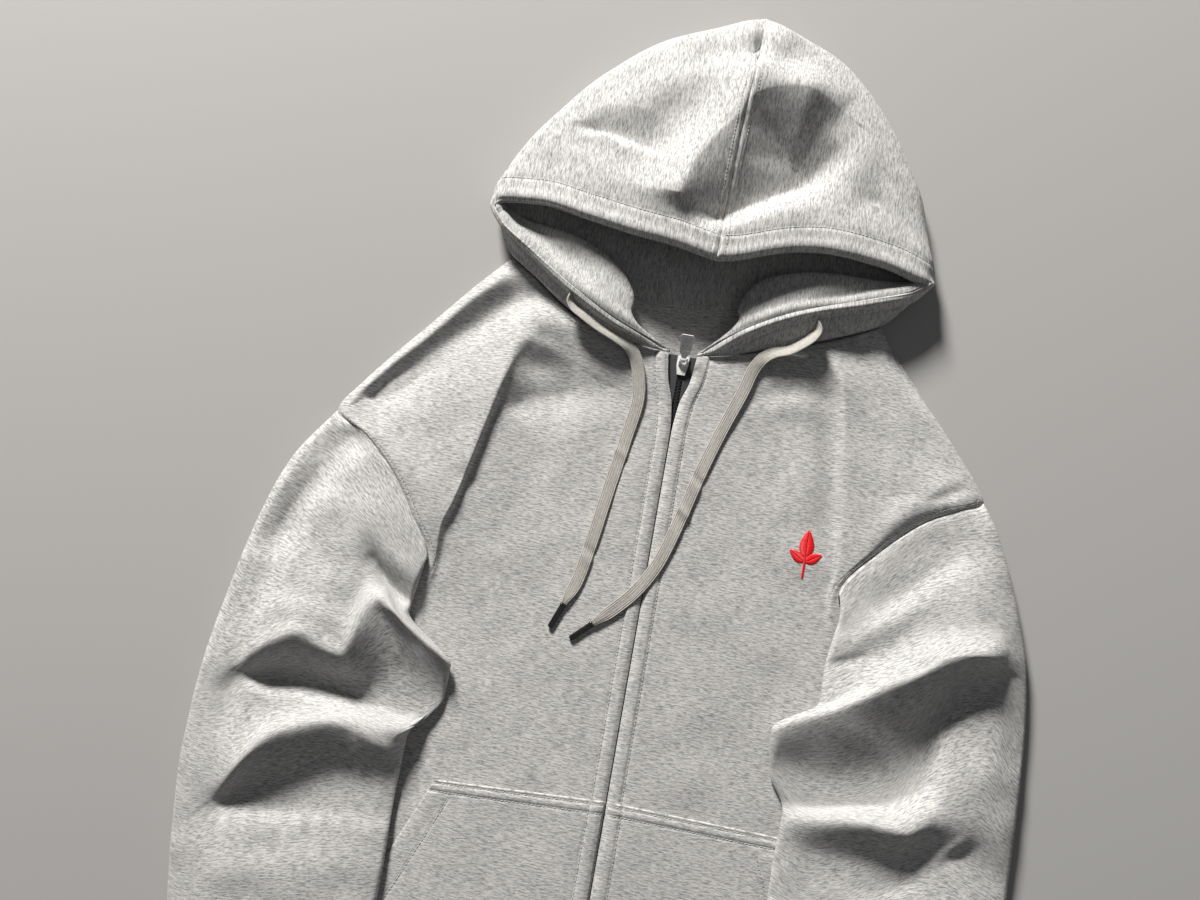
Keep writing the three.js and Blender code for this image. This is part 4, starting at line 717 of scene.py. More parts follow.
def edge_fall(s, r):
    """Rounds a layer down to its edge: 0 at the edge, 1 from r inwards."""
    k = np.clip(s / r, 0, 1)
    return np.sqrt(np.maximum(0, 1 - (1 - k) ** 2))


def groove(d, at, depth, width=0.9):
    return -depth * np.exp(-(((d - at) / width) ** 2))


# ------------------------------------------------------------------ stitches
STITCHES = {}


def stitch(group, line, up, pitch=3.0, length=2.35, lift=0.15, wander=0.08):
    """Lays a row of stitches along a fine line of points, `up` being the cloth's outer normal at each."""
    L = np.asarray(line, float)
    U = np.asarray(up, float)
    d = np.concatenate([[0], np.cumsum(np.linalg.norm(np.diff(L, axis=0), axis=1))])
    n = int(d[-1] // pitch)
    for k in range(n):
        a, b = k * pitch + 0.3, k * pitch + 0.3 + length * RNG.uniform(0.94, 1.05)
        if b > d[-1]:
            break
        mid = np.interp((a + b) / 2, d, np.arange(len(L)))
        u = U[min(len(U) - 1, int(round(mid)))]
        pa = np.array([np.interp(a, d, L[:, i]) for i in range(3)])
        pb = np.array([np.interp(b, d, L[:, i]) for i in range(3)])
        w = RNG.normal(0, wander, 3)
        STITCHES.setdefault(group, []).append((pa + u * lift + w * 0.5, pb + u * lift + w * 0.5, u))


def row_of(G, N, r):
    """A fine line across a grid at the fractional row r (array per column allowed)."""
    R, C = G.shape[:2]
    r = np.broadcast_to(r, (C,))
    k = np.clip(r.astype(int), 0, R - 2)
    t = (r - k)[:, None]
    c = np.arange(C)
    return G[k, c] * (1 - t) + G[k + 1, c] * t, N[k, c] * (1 - t) + N[k + 1, c] * t


def line_at(D, G, N, d, axis):
    """The line where the length D, which grows along `axis`, reaches d."""
    if axis == 1:
        D, G, N = D.T, np.swapaxes(G, 0, 1), np.swapaxes(N, 0, 1)
    r = np.array([np.interp(d, D[:, c], np.arange(len(D))) for c in range(D.shape[1])])
    return row_of(G, N, r)


# ------------------------------------------------------------------ front panels
FLAT_X = [262, 250, 226, 195, 160, 101, 45, 0.8]
FLAT_Y = [-322, -400, -480, -549]


def front_table(table, sign):
    flat = [[[sign * (x if c else x + [0, 3, 3, -6][k]), y, float(ramp(FRONT_TOP, x))] for c, x in enumerate(FLAT_X)] for k, y in enumerate(FLAT_Y)]
    return np.array(table + flat, float)


def front_folds(P, side):
    """Folds over both fronts and what lies on them: height to add at each point."""
    z = np.zeros(P.shape[:-1])
    for h, w, line in FRONT_FOLDS:
        z += crease(P, h, w, line)
    for b in FRONT_BLOBS:
        z += blob(P, *b)
    for f in FRONT_FALLS:
        z += fall(P, *f)
    return z


FRONT_FOLDS = [
    (-5.2, 13, [[-238, -75, 0.4], [-214, -54, 1], [-181, -21, 1], [-151, 8, 1], [-123, 29, 0.4]]),
    (3.6, 13, [[-77, -7, 0.2], [-100, 2, 1], [-125, 4, 1], [-150, -12, 1], [-184, -46, 1], [-214, -74, 0.2]]),
    (-1.6, 9, [[60, -26, 0.3], [80, -19, 1], [100, -15, 1], [118, -20, 0.4]]),
    (1.2, 8, [[64, -39, 0.2], [82, -32, 1], [103, -30, 0.3]]),
    (-2.6, (3, 15), [[89, 26, 0.4], [116, -8, 1], [126, -50, 1], [133, -95, 1], [136, -131, 0.3]]),
    (-3, 9, [[94, 27, 0.3], [119, 29, 1], [141, 22, 0.3]]),
    (1.6, 8, [[108, 15, 0.3], [120, -2, 1], [131, -19, 0.3]]),
    (1.4, 7, [[158, -122, 0.4], [180, -97, 1], [200, -78, 1], [220, -62, 0.3]]),
    (-1.4, 4, [[202, -84, 0.3], [217, -74, 1], [230, -68, 0.3]]),
    (1.6, 12, [[-23, -69, 0.2], [-23, -107, 1], [-22, -153, 0.2]]),
    (2.6, (10, 20), [[75, 16, 0.3], [96, -16, 1], [106, -53, 1], [112, -91, 1], [119, -120, 0.2]]),
]
FRONT_FALLS = [
    (1.6, -6.0, (6, 17), 1, [[-250, -85, 0.1], [-245, -79, 1], [-223, -51, 1], [-198, -24, 1], [-174, 6, 1], [-152, 29, 1], [-142, 40, 0.2]], [[-239, -81, 0.2], [-232, -76, 1], [-209, -62, 1], [-184, -44, 1], [-159, -18, 1], [-134, 5, 1], [-117, 14, 0.2]]),
    (1.2, -4.6, (6, 18), 1, [[-131, -59, 0.1], [-130, -40, 1], [-128, -22, 1], [-120, -15, 1], [-106, -18, 1], [-89, -24, 0.2]], [[-126, -72, 0.1], [-118, -62, 1], [-104, -54, 1], [-89, -50, 1], [-73, -46, 0.2]]),
]
FRONT_BLOBS = [
    (-3.4, -108, -31, 17, 12, 0),
    (-1.2, -58, -47, 26, 14, 20),
    (-1.5, -150, -128, 10, 8, 0),
]


def front(name, table, sign):
    T = front_table(table, sign)
    if sign < 0:
        for r in range(2, 8):
            T[r, 4, 0] -= 2.6
            T[r, 4, 2] += 2.2
            T[r, 5, 2] += 0.6
    else:
        for r in range(1, 8):
            T[r, 4, 0] += 3.6
            T[r, 4, 2] += 2.4
            T[r, 3, 2] -= 1.2
    G, qu, qv = loft(T, 2.9, 2.9, fine_v={0: 2.0, 3: 1.6, 6: 1.3})
    s = run(G, 1)
    dz = s[:, -1:] - s                       # distance from the zip edge
    G[..., 2] += front_folds(G, sign)
    G[..., 2] += (waves(G, 11 + sign, 70, 0.35) + waves(G, 61 + sign, 32, 0.16)) * np.clip((dz - 12) / 30, 0, 1)
    # the facing doubles the cloth beside the zip, held by a row of stitching
    G[..., 2] += 1.0 * (1 - 1 / (1 + np.exp(-(dz - 9.4) / 0.8))) + groove(dz, 10.2, 0.8, 1.0) - 1.5 * np.exp(-((dz / 1.9) ** 2))
    puck = np.sin(G[..., 1] / 3.1) * 0.10 * np.exp(-(((dz - 10.2) / 4.5) ** 2))
    G[..., 2] += puck
    # the panel goes down into the armhole seam
    arm = np.clip((qu - 3.6) / 0.6, 0, 1) * np.clip((8.6 - qu) / 0.5, 0, 1)
    G[..., 2] -= 0.8 * arm[:, None] * np.exp(-((s / 2.0) ** 2))
    G[..., 2] += groove(s, 6.2, 0.45, 0.9) * arm[:, None]
    # and into the neck seam
    dn = run(G, 0)
    G[..., 2] -= 1.2 * np.exp(-((dn / 2.6) ** 2)) * np.clip((dz - 6) / 6, 0, 1)
    G[..., 2] += groove(dn, 4.6, 0.4, 0.9) * np.clip((dz - 12) / 6, 0, 1)
    G[..., 2] = np.maximum(G[..., 2], 2.2)
    N = normals(G) * sign
    cloth = np.stack([G[..., 0], G[..., 1], np.full(G.shape[:2], 3.0 * sign)], -1)
    o = shell(name + "_panel", G, 2.0, sign, FLEECE, cloth)
    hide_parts(name)
    # rows of stitching: facing, armhole and neck
    line, up = line_at(dz[:, ::-1], G[:, ::-1], N[:, ::-1], 10.2, 1)
    stitch("front", line[4:], up[4:])
    k0, k1 = np.searchsorted(qu, [4.0, 8.0])
    line, up = line_at(s[k0:k1], G[k0:k1], N[k0:k1], 6.2, 1)
    stitch("front", line, up)
    c1 = np.searchsorted(dz[0][::-1], 14)
    line, up = line_at(dn, G, N, 4.6, 0)
    stitch("front", line[: -c1], up[: -c1])
    return o, G


front_r, GFR = front("front_right", FRONT_RIGHT, -1)
front_l, GFL = front("front_left", FRONT_LEFT, 1)


# ------------------------------------------------------------------ back panel
def back():
    """Flat on the surface: strips from the right edge to the left edge, from the hem to the neck."""
    hr, hl = hood_table(HOOD_RIGHT, FR0[::-1], -1), hood_table(HOOD_LEFT, FL0[::-1], 1)
    neck = [[p[0], p[1] - 0.3] for p in [row[0] for row in hr[8:]]] + [[p[0], p[1] - 0.3] for p in [row[0] for row in hl[8:-1]]][::-1]
    neck = [list(BACK_RIGHT[0][:2])] + neck + [list(BACK_LEFT[0][:2])]
    right = BACK_RIGHT[::-1]
    left = BACK_LEFT[::-1]
    outline = np.array(right + neck + left[::-1])
    R, L = np.array(right, float), np.array(left, float)
    n = 90

    def by_length(A, m):
        d = np.concatenate([[0], np.cumsum(np.linalg.norm(np.diff(A, axis=0), axis=1))])
        return np.stack([np.interp(np.linspace(0, d[-1], m), d, A[:, i]) for i in range(2)], 1)

    a, b = by_length(R, n), by_length(L, n)
    nk = by_length(np.array(neck, float), 80)
    # columns run across; the top row follows the neck edge
    t = np.linspace(0, 1, 80)
    rows = []
    for k in range(n):
        u = k / (n - 1)
        straight = a[k][None] * (1 - t[:, None]) + b[k][None] * t[:, None]
        w = u ** 6
        top = nk
        rows.append(straight * (1 - w) + top * w)
    G = np.array(rows)
    G = np.concatenate([G, np.full(G.shape[:2] + (1,), 2.0)], -1)
    cloth = np.stack([G[..., 0], G[..., 1], np.full(G.shape[:2], -9.0)], -1)
    o = shell("back_panel_cloth", G, 1.9, 1, FLEECE, cloth, nose=False, level=True)
    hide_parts("back_panel")
    return o


def hood_table(table, neck, sign):
    T = [np.array(r, float) for r in table]
    rows = []
    for k in range(len(T) - 1):
        steps = HOOD_AT[k + 1] - HOOD_AT[k]
        before = T[k - 1] if k else 2 * T[k] - T[k + 1]
        after = T[k + 2] if k + 2 < len(T) else 2 * T[k + 1] - T[k]
        for s in range(steps):
            rows.append(ease(before, T[k], T[k + 1], after, s / steps) if s else T[k].copy())
    rows.append(T[-1].copy())
    H = np.array(rows)
    if neck is not None:
        for r, p in enumerate(neck):
            H[r, 0] = [p[0] - sign * 0.2, p[1] + 0.7, max(p[2] - 0.6, 4.6)]
    return H


FR0 = np.array(FRONT_RIGHT[0], float)
FL0 = np.array(FRONT_LEFT[0], float)
back()


# ------------------------------------------------------------------ sleeves
def under_rows(top, line, corner, join):
    top, line = np.array(top, float), np.array(line, float)
    out = []
    last = top.shape[1] - 1
    to = top[join]
    for r, row in enumerate(top):
        if r == 0:
            out.append(line.copy())
            continue
        new = row.copy()
        part = lambda c, frm: (frm[1] - row[c][1]) / (frm[1] - to[c][1])
        w = float(np.clip((part(0, line[0]) + part(last, line[last])) / 2, 0, 1))
        for c in range(last + 1):
            u = c / last
            if r < join:
                go = (w ** 0.55, w ** 1.3) if c < 3 else (w, w)
                for k in range(2):
                    new[c][k] = (lerp(line[c][k], to[c][k], go[k]) + (1 - u) * (row[0][k] - lerp(line[0][k], to[0][k], go[k]))
                                 + u * (row[last][k] - lerp(line[last][k], to[last][k], go[k])))
            new[c][2] = rest_height(new[c][0], new[c][1], corner)
        out.append(new)
    return np.array(out)


SLEEVE_FOLDS = {-1: [], 1: []}
SLEEVE_FALLS = {
    -1: [
        (1.6, -5.2, (5, 15), -1, [[-251, -92, 0.2], [-254, -98, 1], [-268, -120, 1], [-278, -143, 1], [-287, -167, 1], [-294, -192, 1], [-298, -218, 0.1]], [[-234, -102, 0.3], [-237, -108, 1], [-251, -124, 1], [-261, -144, 1], [-270, -164, 1], [-279, -187, 1], [-286, -215, 0.1]]),
        (3.0, -7.5, (9, 8), 1, [[-285, -293, 0.1], [-269, -277, 1], [-255, -267, 1], [-241, -262, 1], [-224, -270, 1], [-208, -273, 1], [-202, -257, 1], [-197, -233, 1], [-169, -238, 1], [-139, -256, 0.7]], [[-282, -299, 0.1], [-259, -300, 1], [-234, -298, 1], [-208, -298, 1], [-176, -303, 1], [-141, -306, 1]]),
        (2.6, -8.5, (9, 9), 1, [[-286, -393, 0.1], [-272, -375, 1], [-261, -355, 1], [-241, -333, 1], [-206, -321, 1], [-181, -327, 1], [-162, -334, 0.8]], [[-283, -400, 0.1], [-262, -387, 1], [-226, -385, 1], [-190, -377, 1], [-154, -376, 0.8]]),
    ],
    1: [
        (6.5, -10.0, (15, 8), -1, [[267, -195, 0.1], [251, -190, 1], [234, -192, 1], [213, -200, 1], [192, -214, 1], [159, -235, 1], [130, -252, 1], [108, -268, 0.8]], [[271, -201, 0.1], [256, -217, 1], [237, -235, 1], [223, -259, 1], [225, -287, 1], [210, -301, 1], [172, -312, 1], [144, -316, 1], [119, -319, 0.8]]),
        (3.2, -7.0, (7, 9), 1, [[124, -322, 0.6], [150, -318, 1], [176, -317, 1], [198, -322, 1], [213, -324, 1], [230, -312, 0.1]], [[134, -382, 0.6], [160, -360, 1], [179, -359, 1], [196, -364, 1], [214, -357, 1], [235, -331, 0.1]]),
    ],
}
SLEEVE_BLOBS = {-1: [], 1: []}
SLEEVE_FOLDS[-1] = [
    (-3.4, 10, [[-236, -110, 0.3], [-263, -167, 1], [-279, -223, 1], [-287, -276, 1], [-290, -335, 1], [-286, -391, 0.4]]),
    (2.0, 9, [[-292, -277, 0.3], [-275, -258, 1], [-254, -246, 1], [-230, -245, 1], [-211, -262, 0.3]]),
    (-1, (8, 8), [[-277, -301, 0.3], [-233, -298, 1], [-207, -298, 1], [-175, -303, 1], [-141, -305, 0.5]]),
    (0.8, 9, [[-283, -292, 0.3], [-256, -267, 1], [-241, -262, 1], [-224, -270, 1], [-208, -273, 1], [-202, -257, 1], [-199, -232, 0.4]]),
    (5.5, (6, 6), [[-201, -210, 0.3], [-188, -226, 1], [-169, -238, 1], [-148, -251, 1], [-129, -265, 0.4]]),
    (-4, 4.5, [[-203, -201, 0.4], [-193, -213, 1], [-181, -223, 1], [-169, -229, 0.4]]),
    (2.4, 9, [[-280, -311, 0.3], [-224, -307, 1], [-175, -314, 1], [-146, -317, 0.4]]),
    (0.6, 9, [[-285, -392, 0.3], [-261, -355, 1], [-241, -333, 1], [-206, -321, 1], [-181, -327, 1], [-165, -337, 0.3]]),
    (-1, (9, 9), [[-279, -401, 0.4], [-261, -385, 1], [-225, -384, 1], [-190, -376, 1], [-156, -376, 0.4]]),
    (1.3, 4, [[-188, -332, 0.3], [-183, -345, 1], [-180, -361, 0.3]]),
    (-1.6, 7, [[-262, -176, 0.2], [-245, -198, 1], [-230, -218, 0.2]]),
    (-1.2, 8, [[-257, -418, 0.2], [-237, -418, 1], [-218, -411, 0.2]]),
]
SLEEVE_FOLDS[1] = [
    (-5.2, (8, 12), [[227, -121, 0.3], [208, -138, 1], [189, -157, 1], [157, -186, 0.4]]),
    (0.8, 9, [[264, -190, 0.2], [234, -192, 1], [213, -200, 1], [192, -214, 1], [159, -235, 0.6]]),
    (-2.0, 4, [[138, -220, 0.5], [156, -212, 1], [175, -204, 0.2]]),
    (-0.8, (8, 8), [[267, -207, 0.3], [238, -227, 1], [215, -244, 1], [202, -255, 0.5]]),
    (-1, (9, 8), [[118, -315, 0.4], [142, -312, 1], [170, -307, 1], [198, -299, 1], [214, -285, 1], [219, -267, 0.4]]),
    (0.8, 7, [[124, -322, 0.4], [150, -318, 1], [176, -317, 1], [198, -322, 1], [213, -324, 1], [228, -312, 0.3]]),
    (-0.8, (9, 9), [[134, -381, 0.3], [159, -357, 1], [178, -357, 1], [195, -363, 1], [214, -358, 1], [230, -345, 0.3]]),
    (1.6, 4, [[239, -340, 0.3], [249, -329, 1], [259, -319, 0.3]]),
    (-1.6, 4, [[247, -343, 0.3], [257, -334, 1], [267, -326, 0.3]]),
]
SEAM_Z = {-1: [6.5, 10.5, 12.8, 14.0, 14.6, 14.8, 14.6, 13.8, 12.8], 1: [6.5, 10.0, 12.2, 13.0, 13.4, 13.6, 13.6, 13.6, 12.8]}


def sleeve(name, table, line, sign, join):
    T = np.array(table, float)
    corner = T[0][-1]
    U = under_rows(table, line, corner, join)
    T[0, :, 2] = SEAM_Z[sign]
    size = 2.7
    qu = steps_for(T, size, {0: 1.6})
    Tf, Uf = sample(T, qu), sample(U, qu)
    H = np.swapaxes(Tf, 0, 1)
    n = H.shape[0]
    qv = []
    for k in range(n - 1):
        far = np.linalg.norm(H[k + 1] - H[k], axis=-1).max()
        if k == 0:
            qv += [1 - np.cos(np.pi / 2 * i / 14) for i in range(14)]
        elif k == n - 2:
            qv += [k + np.sin(np.pi / 2 * i / 14) for i in range(14)]
        else:
            m = int(np.ceil(far / size))
            qv += [k + i / m for i in range(m)]
    qv += [n - 1.0]
    G = np.swapaxes(sample(H, qv), 0, 1)
    B = np.swapaxes(sample(np.swapaxes(Uf, 0, 1), qv), 0, 1)
    s = run(np.concatenate([G[..., :2], np.zeros(G.shape[:2] + (1,))], -1), 1)
    s1 = s[:, -1:] - s
    for h, w, ln in SLEEVE_FOLDS[sign]:
        G[..., 2] += crease(G, h, w, ln)
    for b in SLEEVE_BLOBS[sign]:
        G[..., 2] += blob(G, *b)
    for f in SLEEVE_FALLS[sign]:
        G[..., 2] += fall(G, *f)
    G[..., 2] += waves(G, 31 + sign, 60, 0.35) + waves(G, 41 + sign, 34, 0.32)
    dl = run(G, 0)
    # the cloth goes down into the armhole seam and into the cuff seam
    G[..., 2] -= 1.5 * np.exp(-((dl / 3.0) ** 2))
    dc = dl[-1:] - dl
    G[..., 2] -= 1.2 * np.exp(-((dc / 3.0) ** 2))
    # small gathers where the sleeve is eased into the cuff
    ga = np.sin(s / 6.2 + np.sin(s / 17.0) * 2) * 1.1 * np.exp(-((dc - 9) / 14) ** 2) * np.clip(dc / 5, 0, 1)
    G[..., 2] += ga
    # its first row follows the panel's armhole edge
    E = (GFR if sign < 0 else GFL)[:, 0]
    E = sample(E, np.linspace(0, len(E) - 1, 5 * len(E)))
    for c in range(G.shape[1]):
        far = np.linalg.norm(E[:, :2] - G[0, c, :2], axis=1)
        e = E[int(np.argmin(far))]
        v = e - G[0, c]
        gap = np.linalg.norm(v[:2]) + 1e-9
        pull = np.array([v[0] * (1 - 0.35 / gap), v[1] * (1 - 0.35 / gap), 0.0])
        fade = np.clip(1 - dl[:, c] / 9, 0, 1) ** 1.6
        G[:, c] += pull[None] * fade[:, None]
        G[:, c, 2] += (e[2] - 0.1 - G[0, c, 2]) * fade * min(1, c / 6, (G.shape[1] - 1 - c) / 6)
    least = B[1:-1, :, 2] + 2.6 + 2.4 * np.clip(np.minimum(s, s1)[1:-1] / 12, 0, 1)
    over = (G[1:-1, :, 2] - least) / 2.0
    G[1:-1, :, 2] = least + 2.0 * np.where(over > 8, over, np.log1p(np.exp(np.minimum(over, 8))))
    m = (G[..., 2] + B[..., 2]) / 2
    half = (G[..., 2] - B[..., 2]) / 2
    r0 = np.clip(half[:, 4:5] * 1.0, 4, 11)
    r1 = np.clip(half[:, -5:-4] * 1.0, 3.5, 8)
    f = edge_fall(s, r0) * edge_fall(s1, r1)
    # the inner edge keeps its height: a sharp fold that stands over the chest
    top = G.copy()
    top[..., 2] = m + (G[..., 2] - m) * f
    low = B.copy()
    low[..., 2] = m - (m - B[..., 2]) * np.minimum(1, edge_fall(s, r0 * 0.8) * edge_fall(s1, r1 * 0.8))
    # fewer columns below
    keep = sorted(set(list(range(0, 14, 3)) + list(range(14, len(qv) - 14, 4)) + list(range(len(qv) - 14, len(qv), 3))) - {0, len(qv) - 1})
    ring = np.concatenate([top, low[:, keep][:, ::-1]], 1)
    su = np.concatenate([s, (s[:, keep] + 400)[:, ::-1]], 1)
    sl = np.concatenate([dl, dl[:, keep][:, ::-1]], 1)
    # courses run across the sleeve
    sl = np.broadcast_to(dl.mean(1)[:, None], su.shape)
    cloth = np.stack([su, sl + 900, np.full(su.shape, 20.0 * sign)], -1)
    o = tube(name + "_cloth", ring, 1.9, FLEECE, cloth)
    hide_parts(name)
    N = normals(top)
    if N[..., 2].mean() < 0:
        N = -N
    return o, top, N


sleeve_r, GSR, NSR = sleeve("sleeve_right", SLEEVE_RIGHT, UNDER_RIGHT, -1, 6)
sleeve_l, GSL, NSL = sleeve("sleeve_left", SLEEVE_LEFT, UNDER_LEFT, 1, 8)


# ------------------------------------------------------------------ rib cuffs and waistband
def ribbed_ring(name, rows, rib=3.7, depth=0.42, node_name=None, closed=True):
    """rows: rings (n, columns, 3); ridges run along the rows."""
    T = np.array(rows, float)
    qu = steps_for(T, 4.0)
    G = sample(T, qu)
    if closed:
        G = np.concatenate([G, G[:, :1]], 1)
    H = np.swapaxes(G, 0, 1)
    # equal steps round the ring, five to a rib
    d = np.concatenate([[0], np.cumsum(np.linalg.norm(np.diff(H, axis=0), axis=-1).mean(1))])
    ribs = int(round(d[-1] / rib))
    n = ribs * 5
    at = np.linspace(0, d[-1], n + 1)
    q = np.interp(at, d, np.arange(len(d)))
    F = np.swapaxes(np.stack([H[int(min(x, len(H) - 2))] * (1 - (x - int(min(x, len(H) - 2)))) + H[int(min(x, len(H) - 2)) + 1] * (x - int(min(x, len(H) - 2))) for x in q]), 0, 1)
    if closed:
        F = F[:, :-1]
    return F, ribs


def cuff(name, rows, sign):
    ring = []
    for y, xo, xi, z, drop in rows:
        at = np.array([0, 0.03, 0.08, 0.16, 0.3, 0.5, 0.7, 0.84, 0.92, 0.97, 1.0])
        x = lerp(xo, xi, at)
        top = z * np.interp(at, [0, 0.12, 0.3, 0.5, 0.7, 0.88, 1], [0.72, 0.86, 0.97, 1, 0.99, 0.95, 0.88])
        low = ramp(CUFF_REST, x) * drop
        mid, half = (top + low) / 2, (top - low) / 2
        w = abs(xo - xi)
        f = edge_fall(at * w, 5.5) * edge_fall((1 - at) * w, 5.5)
        up = np.stack([sign * x, np.full(len(x), y), mid + half * f], 1)
        dn = np.stack([sign * x, np.full(len(x), y), mid - half * f], 1)
        ring.append(np.concatenate([up, dn[1:-1][::-1]]))
    F, ribs = ribbed_ring(name, ring)
    R, C = F.shape[:2]
    N = normals(F, ring=True)
    mid = F.mean(1, keepdims=True)
    if ((F - mid) * N).sum() < 0:
        N = -N
    ph = np.arange(C) / 5.0 * 2 * np.pi
    wob = 0.5 * np.sin(np.linspace(0, 3, R))[:, None]
    dl = run(F, 0)
    end = dl[-1:] - dl
    deep = np.clip(dl / 3, 0, 1) * np.clip(end / 2, 0, 1)
    F = F + N * (0.45 * (np.cos(ph)[None] - 0.6) * deep)[..., None]
    F = F + N * (-0.9 * np.exp(-((dl / 2.2) ** 2)))[..., None]
    su = np.broadcast_to(np.arange(C) * 0.74, (R, C))
    cloth = np.stack([su, dl, np.full(su.shape, 50.0 * sign)], -1)
    o = tube(name + "_rib", F, 2.2, RIBKNIT, cloth)
    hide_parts(name)
    return o


CUFFS = {-1: [[-593, 277, 182, 19.5, 1], [-613, 274.5, 184.5, 19.5, 1], [-634, 274, 185, 18, 0.6], [-655, 275.5, 183.5, 16, 0.25]],
         1: [[-593, 269, 173, 19.5, 1], [-613, 266.5, 175.5, 19.5, 1], [-634, 266, 176, 18, 0.6], [-653, 267.5, 174.5, 16, 0.25]]}
cuff("cuff_right", CUFFS[-1], -1)
cuff("cuff_left", CUFFS[1], 1)


def waistband():
    rows = [[-549.5, 0], [-570, -3], [-590, -4], [-610, -2]]
    grid = []
    for y, w in rows:
        half = [[x + (w if x > 150 else 0), z] for x, z in BAND_COLUMNS]
        rnd = [[252.5 + w, 3.2], [247 + w, 0.4]]
        under = [[236 + w, 0], [160, 0], [80, 0], [0, 0]]
        left = [[x, y, z] for x, z in half + rnd + under]
        right = [[-x, y, z] for x, z in half + rnd + under[:-1]]
        grid.append(left + right[::-1])
    F, ribs = ribbed_ring("waistband", grid, closed=False)
    R, C = F.shape[:2]
    N = normals(F)
    top = F[:, C // 8]
    if N[:, C // 8, 2].mean() < 0:
        N = -N
    side = 1.0 if np.cross(np.gradient(F, axis=1), np.gradient(F, axis=0))[R // 2, C // 8, 2] > 0 else -1.0
    ph = np.arange(C) / 5.0 * 2 * np.pi
    dl = run(F, 0)
    end = dl[-1:] - dl
    sx = run(F, 1)
    ends = np.clip(np.minimum(sx, sx[:, -1:] - sx) / 14, 0, 1)
    deep = np.clip(dl / 3, 0, 1) * np.clip(end / 2, 0, 1) * (ends > 0.98)
    flat = F[..., 2] < 1.0
    F = F + N * (0.45 * (np.cos(ph)[None] - 0.6) * deep)[..., None] * np.where(flat, 0.15, 1.0)[..., None]
    F = F + N * (-0.9 * np.exp(-((dl / 2.2) ** 2)) * ~flat)[..., None]
    F[..., 2] = np.maximum(F[..., 2], 0.05)
    cloth = np.stack([sx, dl, np.full(sx.shape, 70.0)], -1)
    o = shell("waistband_rib", F, 2.2, side, RIBKNIT, cloth)
    fix_winding(o)
    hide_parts("waistband")


waistband()


# ------------------------------------------------------------------ hood
HOOD_FALLS = [
    (14.5, -16.5, (24, 11), 1, [[-28, 87, 0.1], [-26, 102, 0.5], [-22, 120, 0.9], [-16, 142, 1], [-5, 161, 1], [7, 178, 1], [18, 197, 1], [37, 207, 1], [56, 210, 1], [75, 207, 0.5], [89, 201, 0.1]], [[-15, 76, 0.1], [-5, 88, 0.6], [10, 103, 1], [30, 118, 1], [51, 132, 1], [68, 145, 0.9], [81, 162, 0.4], [91, 177, 0.08]]),
    (1.2, -3.6, (14, 4), 1, [[-108, 164, 0.1], [-91, 177, 1], [-67, 178, 1], [-34, 167, 0.1]], [[-114, 157, 0.1], [-95, 156, 1], [-75, 153, 1], [-54, 147, 1], [-31, 141, 0.1]]),
]
HOOD_FOLDS = [
    (-1.5, (8, 12), [[82, 151, 0.3], [63, 140, 1], [49, 133, 1], [33, 121, 1], [18, 110, 1], [1, 98, 1], [-13, 88, 0.3]]),
    (1, (22, 18), [[88, 208, 0.3], [52, 212, 1], [25, 209, 1], [14, 197, 1], [7, 181, 1], [-9, 163, 1], [-23, 148, 0.3]]),
    (-0.8, (6, 3.5), [[-111, 155, 0.3], [-95, 156, 1], [-75, 153, 1], [-54, 147, 1], [-34, 141, 0.3]]),
    (1.4, 7, [[-101, 148, 0.2], [-73, 144, 1], [-40, 134, 0.2]]),
    (2.0, 12, [[108, 205, 0.2], [112, 173, 1], [102, 143, 1], [67, 115, 0.2]]),
    (-1.2, 8, [[-140, 123, 0.3], [-126, 121, 1], [-110, 120, 0.3]]),
]
HOOD_BLOBS = [
    (-4.2, 14, 237, 46, 13, 0),
    (-2.2, -52, 214, 40, 14, 28),
    (-1.6, 123, 135, 9, 6, 0),
    (1.2, -71, 109, 30, 14, 0),
]


def hood_shape(G):
    """Dents and folds of the upper side of the hood."""
    z = np.zeros(G.shape[:2])
    for h, w, ln in HOOD_FOLDS:
        z += crease(G, h, w, ln)
    for b in HOOD_BLOBS:
        z += blob(G, *b)
    for f in HOOD_FALLS:
        z += fall(G, *f)
    # the stitched casing keeps the rim as it is
    return z * np.clip((run(G, 0) - 16) / 20, 0, 1) ** 1.3


def sag(G, upper):
    """The rim hangs lowest just left of the centre seam, and the crown is full up to its edge."""
    dr = run(G, 0)
    G[..., 1] -= 7.5 * np.exp(-(((G[..., 0] - 20) / 34) ** 2)) * np.exp(-((dr / 26) ** 2)) * upper
    e = dr[-1:] - dr
    G[..., 2] += 6.5 * np.exp(-(((e - 17) / 17) ** 2)) * np.clip(e / 8, 0, 1) * upper


